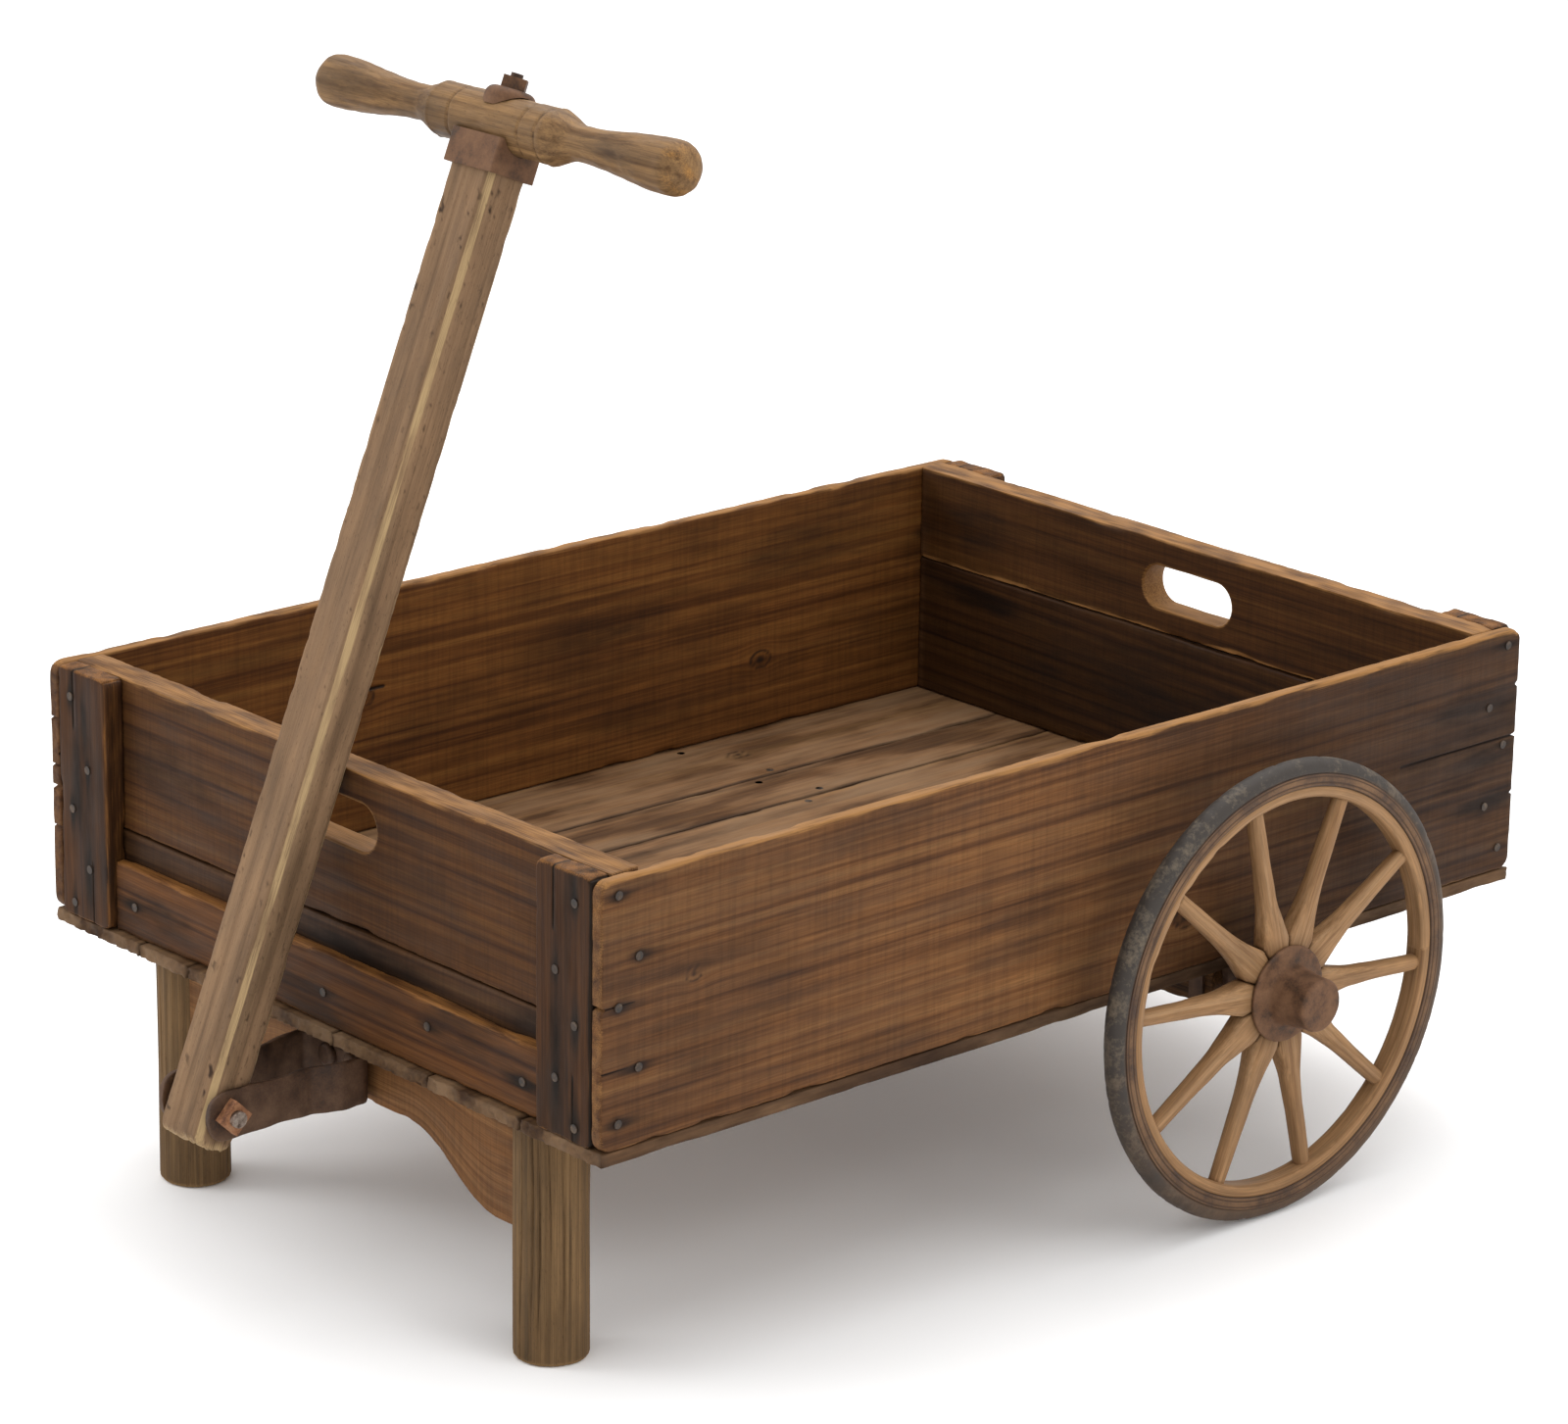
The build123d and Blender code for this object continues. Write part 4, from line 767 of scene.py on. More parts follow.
# ---- Box ------------------------------------------------------------------------------
class CartSideBoards(bpy.types.Operator):
    """The two long side boards with their worn ends"""
    bl_idname = "cart.side_boards"
    bl_label = "Side boards"

    def execute(self, context):
        values = context.scene.cart_box
        nails = heads("side_nails", 0)
        finish = finishes()["box"]
        common = dict(finish=finish, slot="box_pine", order=(1, 2, 0), nails=nails,
                      band=values.worn_band, chips=values.chips, corner=10.0,
                      steps=(3.2, 3.2, 2.5), reach=values.stain_reach, waves=0.8, ragged=0.45,
                      ragged_size=18.0)
        # shade darkens the outer and the inner face as painted shade, partly old oily wood; fade
        # darkens the front and the rear of the right board
        board("side_board_right", seed=11, inner="low",
              edges=(0.55, 0.2, 0.2, 1.0, 0.5), shade=(0.0, 0.05),
              fade=(0.22, 0.6),
              notches=((1, 109, 2, 5), (1, 150, 2.5, 3), (1, 62, 2, 3), (0, 104, 2.5, 4)),
              cracks=((790, 922, 109, 1.0, 2.4), (0, 30, 104, 0.8, 1.6), (0, 22, 58, 0.6, 1.0)),
              knots=((82, 112, 3.6), (560, 42, 5)),
              spots=((70, 118, 75, 9, 0.55), (60, 80, 55, 8, 0.5), (880, 95, 70, 12, 0.75),
                     (870, 140, 90, 14, 0.75), (890, 60, 60, 11, 0.8), (640, 165, 150, 14, 0.4),
                     (860, 110, 130, 90, 0.5), (420, 60, 130, 22, 0.18)), **common)
        board("side_board_left", seed=23, inner="high",
              edges=(0.3, 0.2, 0.2, 0.8, 0.4), shade=(0.3, 0.0),
              notches=((0, 151, 1.4, 3.5), (0, 114, 1.6, 3.5), (0, 97, 2.2, 5.5),
                       (0, 66, 1.4, 3), (1, 90, 3, 4)),
              cracks=((262, 306, 116, 1.2, 2.6), (0, 40, 124, 0.9, 2.0)),
              knots=((285, 110, 5), (700, 60, 5)),
              spots=((520, 120, 110, 34, 0.5), (760, 150, 130, 36, 0.55),
                     (860, 60, 90, 40, 0.45), (60, 120, 90, 30, 0.4),
                     (420, 40, 110, 18, 0.22)), **common)
        return {"FINISHED"}


class CartEndBoards(bpy.types.Operator):
    """The stacked boards at both ends, the upper ones with their hand holes"""
    bl_idname = "cart.end_boards"
    bl_label = "End boards"

    def execute(self, context):
        values = context.scene.cart_box
        finish = finishes()["box"]
        nails = heads("cleat_nails", 1)
        common = dict(finish=finish, slot="box_pine", order=(0, 2, 1), band=values.worn_band,
                      chips=values.chips, waves=0.9, reach=values.stain_reach)
        holes = {}
        for end in ("front", "rear"):
            top = limits(f"{end}_board_upper")[1][2]
            holes[end] = ((4 * MM, top - 40.5 * MM), 98 * MM, 36 * MM)
        # shade darkens the outer and inner faces, warmth tints the front board's outer face red:
        # painted shade, partly old oily wood
        board("front_board_upper", seed=31, inner="high", hole=holes["front"],
              edges=(0, 0, 0.2, 0.72, 0.5), shade=(0.48, 0.36), warmth=0.9,
              spots=((110, 60, 110, 40, 0.45), (560, 60, 70, 40, 0.35),
                     (420, 20, 120, 14, 0.3)), **common)
        board("rear_board_upper", seed=37, inner="low", hole=holes["rear"],
              edges=(0, 0, 0.9, 0.75, 0.5), shade=(0.4, 0.52),
              spots=((60, 40, 90, 30, 0.6), (300, 50, 110, 22, 0.35), (480, 30, 80, 24, 0.4)),
              **common)
        board("front_board_lower", seed=41, inner="high", nails=nails, steps=(4, 4, 6),
              edges=(0, 0, 0.2, 0.3, 0.3), shade=(0.55, 0.5),
              spots=((330, 60, 170, 16, 0.75), (80, 66, 90, 10, 0.5),
                     (540, 62, 70, 16, 0.7)), **common)
        board("rear_board_lower", seed=43, inner="low", nails=nails, steps=(4, 4, 6),
              edges=(0, 0, 0.2, 0.2, 0.3), shade=(0.5, 0.66),
              spots=((300, 55, 320, 60, 0.62), (80, 95, 60, 14, 0.8),
                     (520, 30, 90, 30, 0.5)), **common)
        return {"FINISHED"}


class CartStrips(bpy.types.Operator):
    """The corner cleats and the two low battens"""
    bl_idname = "cart.strips"
    bl_label = "Cleats and battens"

    def execute(self, context):
        values = context.scene.cart_box
        finish = finishes()["cleat"]
        nails = heads("cleat_nails", 1)
        batten_nails = heads("batten_nails", 1)
        for number, (end, side) in enumerate((e, s) for e in ("front", "rear") for s in SIDES):
            streaks = ((60, 24, 110, 8, 0.55), (140, 34, 70, 9, 0.5), (98, 60, 400, 3, 0.9))
            if side == "left":
                streaks = ((40, 36, 45, 9, 0.75), (110, 22, 60, 10, 0.65),
                           (160, 34, 40, 9, 0.7), (98, 0, 400, 2.5, 0.8))
            # shade darkens every face of a cleat: painted shade, partly old oily wood
            board(f"{end}_cleat_{side}", finish, "box_pine", (2, 0, 1), 51 + 7 * number,
                  nails=nails, steps=(3, 3, 3), band=3.4, reach=values.stain_reach * 1.3,
                  edges=(0.1, 0.7, 0.45, 0.45, 0.7), spots=streaks, chips=1.8, waves=0.9,
                  ragged=0.6, ragged_size=14.0, rim=2.6, corner=5.0, shade=(0.42, 0.42),
                  cracks=((150, 196, 20, 0.8, 2.0), (0, 50, 41, 0.7, 1.6)))
        for number, end in enumerate(("front", "rear")):
            board(f"{end}_batten", finish, "box_pine", (0, 2, 1), 81 + 9 * number,
                  nails=batten_nails, steps=(3, 3, 3), band=4.5, reach=values.stain_reach,
                  edges=(0.1, 0.1, 0.2, 0.75, 0.6), chips=2.2, waves=1.6,
                  spots=((70, 30, 60, 14, 0.5), (300, 22, 60, 12, 0.35),
                         (420, 36, 50, 8, 0.4)))
        return {"FINISHED"}


class CartFloor(bpy.types.Operator):
    """The lengthwise floor boards with their splintered ends"""
    bl_idname = "cart.floor"
    bl_label = "Floor boards"

    def execute(self, context):
        finish = finishes()["floor"]
        nails = heads("floor_nails", 2)
        spots = {1: ((600, 50, 160, 16, 0.35),), 2: ((500, 20, 200, 10, 0.25),),
                 3: ((300, 30, 200, 12, 0.3),), 4: ((620, 80, 120, 20, 0.4),)}
        for number in range(1, 8):
            knots = ((640, 52, 5),) if number == 1 else ()
            board(f"floor_board_{number}", finish, "floor_pine", (1, 0, 2), 101 + 5 * number,
                  nails=nails, steps=(4, 3.4, 3), band=2.4, reach=12.0, rim=1.2, chips=0.8,
                  ragged=2.4, ragged_size=6.0, edges=(0.25, 0.2, 0.1, 0.1, 0.2), knots=knots,
                  ends=0.55,
                  spots=(*spots.get(number, ()), *self.seams(number)), waves=0.4)
        return {"FINISHED"}

    def seams(self, number):
        """Dark lines along both edges of a floor board: painted shadow of the steps between boards,
        with dirt in the joints.
        """
        low, high = limits(f"floor_board_{number}")
        wide = (high[0] - low[0]) / MM
        return ((460, 0, 900, 4, 0.6), (460, wide, 900, 5, 0.65))


# ---- Undercarriage --------------------------------------------------------------------
class CartLegs(bpy.types.Operator):
    """The two round pegs, split and furrowed by weather"""
    bl_idname = "cart.legs"
    bl_label = "Legs"

    def execute(self, context):
        finish = finishes()["leg"]
        for side, sign in SIDES.items():
            low, high = limits(f"leg_{side}")
            radius = (high[1] - low[1]) / 2
            axis = np.array([(high[0] - radius) if sign > 0 else (low[0] + radius),
                             (low[1] + high[1]) / 2])
            self.peg(f"leg_{side}", axis, radius, low[2], high[2], finish, 131 + sign)
        return {"FINISHED"}

    def peg(self, node, axis, radius, bottom, top, finish, seed):
        """Radius at an angle and height: the peg's radius, less a rounding at the foot, less
        furrows of sine noise stretched up the grain, less V checks at a few angles that open
        and close with height."""
        foot = 4 * MM
        turn = np.linspace(0, 2 * np.pi, 220, endpoint=False)
        level = np.concatenate([foot * (1 - np.cos(np.linspace(0, np.pi / 2, 6)))[1:],
                                np.linspace(foot, top - bottom, 70)[1:]])
        z, t = np.meshgrid(level, turn, indexing="ij")
        around = np.stack([z.ravel() / MM, radius / MM * np.cos(t).ravel(),
                           radius / MM * np.sin(t).ravel()], 1)
        furrow = ripple(around, (170, 5.0, 5.0), seed) + 0.6 * ripple(around, (90, 2.4, 2.4),
                                                                      seed + 1)
        r = radius - 0.28 * MM * (1 + np.clip(furrow, -1, 1)).reshape(z.shape)
        r -= 0.5 * MM * (1 + ripple(around, (300, 40, 40), seed + 2)).reshape(z.shape)
        drop = np.clip(foot - z, 0, foot)
        r -= foot - np.sqrt(foot ** 2 - drop ** 2)
        rng = np.random.default_rng(seed)
        dark = np.zeros(z.shape)
        for angle, depth in zip(rng.uniform(0, 2 * np.pi, 9), rng.uniform(1.2, 3.5, 9)):
            middle, reach = rng.uniform(0.2, 0.8), rng.uniform(0.35, 0.8)
            wander = angle + 0.05 * np.sin(z / (40 * MM) + angle)
            gap = np.abs((t - wander + np.pi) % (2 * np.pi) - np.pi) * radius
            open_here = np.clip(1 - np.abs(z / (top - bottom) - middle) / reach, 0, 1)
            cut = np.clip(1 - gap / (0.9 * MM), 0, 1) * open_here
            r -= depth * MM * cut
            # Painted shade along each check, too narrow to show its own shadow.
            dark = np.maximum(dark, 0.5 * bell(gap, 0.7 * MM) * np.clip(1.5 * open_here, 0, 1))
        rings = np.stack([axis[0] + r * np.cos(t), axis[1] + r * np.sin(t), bottom + z], -1)
        points, faces = tube(rings, [*axis, bottom], [*axis, top])
        local = points - [*axis, bottom]
        pad = np.zeros(2)
        marks = {
            "grain": local[:, [2, 0, 1]] + np.random.default_rng(seed).uniform(1, 9, 3),
            "wear": np.append(0.8 * bell(z, 5 * MM).ravel(), pad),
            "stain": np.append(np.maximum(0.9 * dark, 0.35 * bell(top - bottom - z, 14 * MM)),
                               pad),
            "inside": np.zeros(len(points)),
        }
        piece(f"worn_{node}", points, faces, finish, "cart", [node], marks)


class CartBrace(bpy.types.Operator):
    """The shaped apron between the legs"""
    bl_idname = "cart.brace"
    bl_label = "Brace"

    def execute(self, context):
        flat, middle_h, end_h = 72 * MM, 48 * MM, 92 * MM

        def sweep(points, size):
            """Height below the floor at x: middle_h over the straight middle, then a quintic
            S curve down to end_h; every point keeps its share of that height."""
            shares = np.array([0.40, 0.62, 1.0])
            rows = [[s ** n for n in (2, 3, 4, 5)] for s in shares]
            rows.append([2.0, 3.0, 4.0, 5.0])
            factors = np.linalg.solve(rows, [0.45, 0.84, 1.0, 0.0])
            half = size[0] / 2
            t = np.clip((np.abs(points[:, 0] - half) - flat) / (half - flat), 0, 1)
            fall = sum(f * t ** n for f, n in zip(factors, (2, 3, 4, 5)))
            depth = middle_h + (end_h - middle_h) * np.clip(fall, 0, 1)
            points[:, 1] = size[1] - depth * (size[1] - points[:, 1]) / size[1]
            return points

        board("brace", finishes()["brace"], "brace_wood", (0, 2, 1), 151, steps=(3, 3.5, 4),
              band=3.0, edges=(0, 0, 0.7, 0.1, 0.5), shape=sweep, chips=1.6, rim=1.5,
              ragged=0.0, spots=((192, 60, 60, 30, 0.5), (60, 80, 60, 10, 0.4)))
        board("axle_bed", finishes()["bed"], "bed_wood", (0, 1, 2), 157, steps=(4, 4, 4),
              band=3.0, edges=(0.5, 0.5, 0.5, 0.5, 0.6), chips=2.0, ragged=2.0,
              spots=((20, 18, 40, 12, 0.6), (600, 18, 40, 12, 0.6), (310, 20, 200, 12, 0.4)))
        return {"FINISHED"}


class CartYoke(bpy.types.Operator):
    """The bent iron strap that holds the pole"""
    bl_idname = "cart.yoke"
    bl_label = "Yoke"

    def execute(self, context):
        low, high = limits("yoke")
        thick = 5.0 * MM
        tall, mid_z = high[2] - low[2], (high[2] + low[2]) / 2
        neck = limits("pole")[1][0] + 0.3 * MM + thick / 2
        root = high[0] - thick / 2
        back = high[1] - thick / 2
        arm = np.array([(neck, low[1]), (neck, back - 54 * MM), (neck + 0.4 * MM, back - 50 * MM),
                        (root - 0.4 * MM, back - 29 * MM), (root, back - 25 * MM),
                        (root, back)])
        corners = np.concatenate([arm, (arm * [-1, 1])[::-1]])
        path = self.rounded_path(corners)
        gaps = np.linalg.norm(np.diff(path, axis=0), axis=1)
        run = np.concatenate([[0], np.cumsum(gaps)])
        stations = np.unique(np.concatenate([
            run[-1] * np.linspace(0, 1, 170),
            tall / 2 * (1 - np.cos(np.linspace(0.12, np.pi / 2, 12))),
            run[-1] - tall / 2 * (1 - np.cos(np.linspace(0.12, np.pi / 2, 12)))]))
        stations = stations[(stations > 0.1 * MM) & (stations < run[-1] - 0.1 * MM)]
        line = np.stack([np.interp(stations, run, path[:, n]) for n in (0, 1)], 1)
        ahead = np.gradient(line, stations, axis=0)
        ahead /= np.linalg.norm(ahead, axis=1)[:, None]
        side = np.stack([ahead[:, 1], -ahead[:, 0]], 1)
        near_tip = np.minimum(stations, run[-1] - stations)
        reach = np.clip(1 - near_tip / (tall / 2), 0, 1)
        half_height = tall / 2 * (1 - reach ** 2.6) ** (1 / 2.6)
        waist = 1 - 0.07 * bell(near_tip - 62 * MM, 16 * MM)
        half_height = half_height * waist
        section = self.strap_section(thick / 2, 40)
        up = section[:, 1][None] * half_height[:, None]
        out = np.broadcast_to(section[:, 0][None], up.shape).copy()
        spot = np.stack([np.broadcast_to(stations[:, None], up.shape) / MM, up / MM,
                         out / MM], -1).reshape(-1, 3)
        hammered = ripple(spot, (14, 12, 20), 171).reshape(up.shape)
        out *= 1 - 0.04 * (1 + hammered)
        up *= 1 - 0.02 * (1 + ripple(spot, (16, 60, 20), 172).reshape(up.shape))
        rings = np.stack([line[:, 0, None] + side[:, 0, None] * out,
                          line[:, 1, None] + side[:, 1, None] * out, mid_z + up], -1)
        ends = [np.append(path[0] + [0, 0.02 * MM], mid_z),
                np.append(path[-1] + [0, 0.02 * MM], mid_z)]
        points, faces = tube(rings, *ends)
        piece("bent_yoke", points, faces, finishes()["forged"], "cart",
              ["yoke"])
        return {"FINISHED"}

    def rounded_path(self, corners):
        """Cuts every corner at a quarter of each side, three times over."""
        for _ in range(3):
            a, b = corners[:-1], corners[1:]
            cut = np.stack([0.75 * a + 0.25 * b, 0.25 * a + 0.75 * b], 1).reshape(-1, 2)
            corners = np.concatenate([corners[:1], cut, corners[-1:]])
        return corners

    def strap_section(self, half, count):
        """Flat bar with rounded corners: a superellipse of power 8, out by half, up by 1."""
        turn = np.linspace(0, 2 * np.pi, count, endpoint=False)
        out = np.sign(np.cos(turn)) * np.abs(np.cos(turn)) ** 0.35
        up = np.sign(np.sin(turn)) * np.abs(np.sin(turn)) ** 0.35
        return np.stack([out * half, up], 1)


# ---- Pole and grip --------------------------------------------------------------------
def lean_frame():
    """Pivot, and the pole's own axes at rest, from the hinge to the middle of the grip."""
    low, high = limits("pivot_bolt")
    pivot = (low + high) / 2
    pivot[0] = 0.0
    low, high = limits("grip")
    grip = (low + high) / 2
    up = grip - pivot
    up[0] = 0.0
    reach = np.linalg.norm(up)
    up /= reach
    across = np.array([1.0, 0.0, 0.0])
    return pivot, across, np.cross(up, across), up, reach


class CartPole(bpy.types.Operator):
    """The chamfered pole with its chipped foot"""
    bl_idname = "cart.pole"
    bl_label = "Pole"

    def execute(self, context):
        values = context.scene.cart_pole
        pivot, across, back, up, reach = lean_frame()
        foot = 28 * MM
        size = np.array([foot + reach - 11 * MM, 50 * MM, 36 * MM])
        rim = values.chamfer / MM
        cuts = [breaks(size[0], 6 * MM, 3 * MM), breaks(size[1], rim * MM, 2.6 * MM),
                breaks(size[2], rim * MM, 2.6 * MM)]
        points, faces = box_grid(*cuts)
        shaped = rounded(points, size, rim * MM, chamfer=True)
        ends = np.minimum(points[:, 0], size[0] - points[:, 0])
        shaped[:, 0] = points[:, 0]
        edge = np.minimum(points, size - points)
        inward = np.where(points < size / 2, 1.0, -1.0)
        corner = np.hypot(edge[:, 1], edge[:, 2]) < 1.01 * rim * MM
        bite = np.maximum(0, ripple(points / MM, (22, 30, 30), 181)) ** 2
        bite += 0.6 * np.maximum(0, ripple(points / MM, (6, 30, 30), 182)) ** 2
        shaped[:, 1:] += inward[:, 1:] * (0.35 * MM * bite * corner)[:, None]
        radius = values.foot_radius
        drop = np.clip(radius - shaped[:, 0], 0, radius)
        pull = radius - np.sqrt(np.maximum(radius ** 2 - drop ** 2, 0))
        half = size[2] / 2
        shaped[:, 2] = half + (shaped[:, 2] - half) * (1 - pull / half)
        fray = 0.5 + 0.5 * ripple(points / MM, (60, 7, 7), 183)
        shaped[:, 0] += (points[:, 0] < 20 * MM) * bell(points[:, 0], 9 * MM) * 3.5 * MM * fray ** 2
        on_chamfer = ((edge[:, 1] < rim * MM) & (edge[:, 2] < rim * MM)).astype(float)
        wear_mask = on_chamfer * (0.74 + 0.2 * ripple(points / MM, (60, 30, 30), 184))
        wear_mask = np.maximum(wear_mask, 0.7 * bell(points[:, 0], 7 * MM))
        beside = bell(np.maximum(edge[:, 1], edge[:, 2]) - 9 * MM, 5 * MM)
        beside *= np.minimum(edge[:, 1], edge[:, 2]) < 0.1 * MM
        blot = np.maximum(0, ripple(points / MM, (9, 3.0, 3.0), 185)) ** 2
        dark = np.clip(0.55 * beside * blot + 0.3 * blot * bell(ends - 60 * MM, 70 * MM), 0, 1)
        dark = np.maximum(dark, 0.25 * bell(size[0] - points[:, 0], 40 * MM))
        local = shaped - [foot, size[1] / 2, size[2] / 2]
        placed = pivot + local[:, [0]] * up + local[:, [1]] * across + local[:, [2]] * back
        marks = {"grain": shaped + [3.1, 5.7, 2.2], "wear": np.clip(wear_mask, 0, 1),
                 "stain": dark, "inside": np.zeros(len(points))}
        piece("worn_pole", placed, faces, finishes()["pole"], "handle", ["pole"],
              marks)
        return {"FINISHED"}


class CartGrip(bpy.types.Operator):
    """The turned cross grip"""
    bl_idname = "cart.grip"
    bl_label = "Grip"

    def execute(self, context):
        values = context.scene.cart_pole
        low, high = limits("grip")
        middle = (low + high) / 2
        half = (high[0] - low[0]) / 2
        barrel = (high[1] - low[1]) / 2
        x, r = self.profile(half, barrel, values.neck_radius, values.bulb_radius)
        turn = np.linspace(0, 2 * np.pi, 120, endpoint=False)
        xx, tt = np.meshgrid(x, turn, indexing="ij")
        rr = np.repeat(r[:, None], len(turn), 1)
        spot = np.stack([xx, rr * np.cos(tt), rr * np.sin(tt)], -1).reshape(-1, 3) / MM
        worn = ripple(spot, (45, 18, 18), 191) * 0.35 + ripple(spot, (12, 7, 7), 192) * 0.18
        rr = rr - MM * (0.53 + worn.reshape(xx.shape)) * np.minimum(1, rr / (6 * MM))
        rng = np.random.default_rng(193)
        dents = np.zeros(xx.shape)
        for _ in range(26):
            at = rng.uniform(-0.95, 0.95) * half if rng.random() < 0.6 else rng.normal(-50, 14) * MM
            angle = rng.uniform(0, 2 * np.pi)
            wide = rng.uniform(1.6, 4.0) * MM
            gap = np.abs((tt - angle + np.pi) % (2 * np.pi) - np.pi) * rr
            dents += rng.uniform(0.15, 0.55) * MM * bell(np.hypot((xx - at) / 1.8, gap), wide)
        rr = np.maximum(rr - dents, 0.2 * MM)
        rings = np.stack([xx, rr * np.cos(tt), rr * np.sin(tt)], -1)
        points, faces = tube(rings, [-half + 0.5 * MM, 0, 0], [half - 0.5 * MM, 0, 0])
        neck = bell(np.abs(points[:, 0]) - 66 * MM, 16 * MM)
        grooves = sum(bell(points[:, 0] - at * MM, 1.5 * MM) for at in (38.7, -38.7))
        grooves += bell(points[:, 0] - 57 * MM, 1.5 * MM)
        patchy = 0.5 + 0.5 * ripple(points / MM, (40, 16, 16), 194)
        tips = bell(points[:, 0] - half, 26 * MM) + 0.55 * bell(points[:, 0] + half, 30 * MM)
        marks = {"grain": points + [2.0, 6.1, 4.4],
                 "wear": np.clip(0.5 * tips * (0.4 + 0.9 * patchy), 0, 1),
                 "stain": np.clip(0.3 * neck * patchy + 0.4 * grooves, 0, 1),
                 "inside": np.zeros(len(points))}
        piece("turned_grip", points + middle, faces, finishes()["grip"], "handle",
              ["grip"], marks)
        return {"FINISHED"}

    def profile(self, half, barrel, neck, bulb):
        """Radius along the grip: a straight barrel, an S curve to the neck, an S curve out to
        the bulb, and an ellipse over the end; two V grooves on one arm and one on the other."""
        collar, neck_x, bulb_x = 61 * MM, 88 * MM, half - 0.9 * bulb
        x = np.unique(np.concatenate([
            np.linspace(0, half - 3 * MM, 150), half * np.ones(1) - 0.02 * MM,
            half - 3 * MM * (1 - np.sin(np.linspace(0, np.pi / 2, 8))[:-1])]))
        down = ease(np.clip((x - collar) / (neck_x - collar), 0, 1)) ** 0.8
        up = ease(np.clip((x - neck_x) / (bulb_x - neck_x), 0, 1))
        r = barrel + (neck - barrel) * down + (bulb - neck) * up
        over = np.clip((x - bulb_x) / (half - bulb_x), 0, 1)
        r = r * np.sqrt(np.maximum(1 - over ** 2, 1e-4))
        r += 0.5 * MM * bell(x - 61 * MM, 3 * MM) * (r < barrel)
        right = r - 1.4 * MM * np.clip(1 - np.abs(x - 38.7 * MM) / (1.7 * MM), 0, 1)
        right -= 1.4 * MM * np.clip(1 - np.abs(x - 57 * MM) / (1.7 * MM), 0, 1)
        left = r - 1.4 * MM * np.clip(1 - np.abs(x - 38.7 * MM) / (1.7 * MM), 0, 1)
        return np.concatenate([-x[::-1], x[1:]]), np.concatenate([left[::-1], right[1:]])


# ---- Wheels ---------------------------------------------------------------------------
def wheel_place(side):
    """Middle of a wheel, the felloe's inner and outer radius, and half its width."""
    low, high = limits(f"tyre_{side}")
    centre = (low + high) / 2
    low, high = limits(f"felloe_{side}")
    felloe = vertices_of(f"felloe_{side}") - centre
    radii = np.hypot(felloe[:, 1], felloe[:, 2])
    return centre, radii.min(), radii.max(), (high[0] - low[0]) / 2


def ring_of(section, count):
    """Carries a closed section, given as out from the wheel and radius, round the wheel.
    Returns the rings with the angle and the section's share at every point."""
    turn = np.linspace(0, 2 * np.pi, count, endpoint=False)
    out = np.repeat(section[None, :, 0], count, 0)
    radius = np.repeat(section[None, :, 1], count, 0)
    return turn[:, None] + np.zeros_like(out), out, radius


def round_section(corners, step, passes=2):
    """Closed outline with its corners cut and points every step."""
    line = np.array(corners, float)
    for _ in range(passes):
        after = np.roll(line, -1, 0)
        cut = np.minimum(0.25, 0.9 * MM / np.maximum(np.linalg.norm(after - line, axis=1), 1e-9))
        cut = cut[:, None]
        line = np.stack([line + cut * (after - line), after - cut * (after - line)], 1)
        line = line.reshape(-1, 2)
    closed = np.concatenate([line, line[:1]])
    run = np.concatenate([[0], np.cumsum(np.linalg.norm(np.diff(closed, axis=0), axis=1))])
    places = np.unique(np.concatenate([run[:-1], np.arange(0, run[-1], step)]))
    places = places[np.concatenate([[True], np.diff(places) > 0.25 * step])]
    places = places[places < run[-1] - 0.2 * step]
    return np.stack([np.interp(places, run, closed[:, n]) for n in (0, 1)], 1)


def around(centre, turn, out, radius):
    return np.stack([centre[0] + out, centre[1] + radius * np.cos(turn),
                     centre[2] + radius * np.sin(turn)], -1)


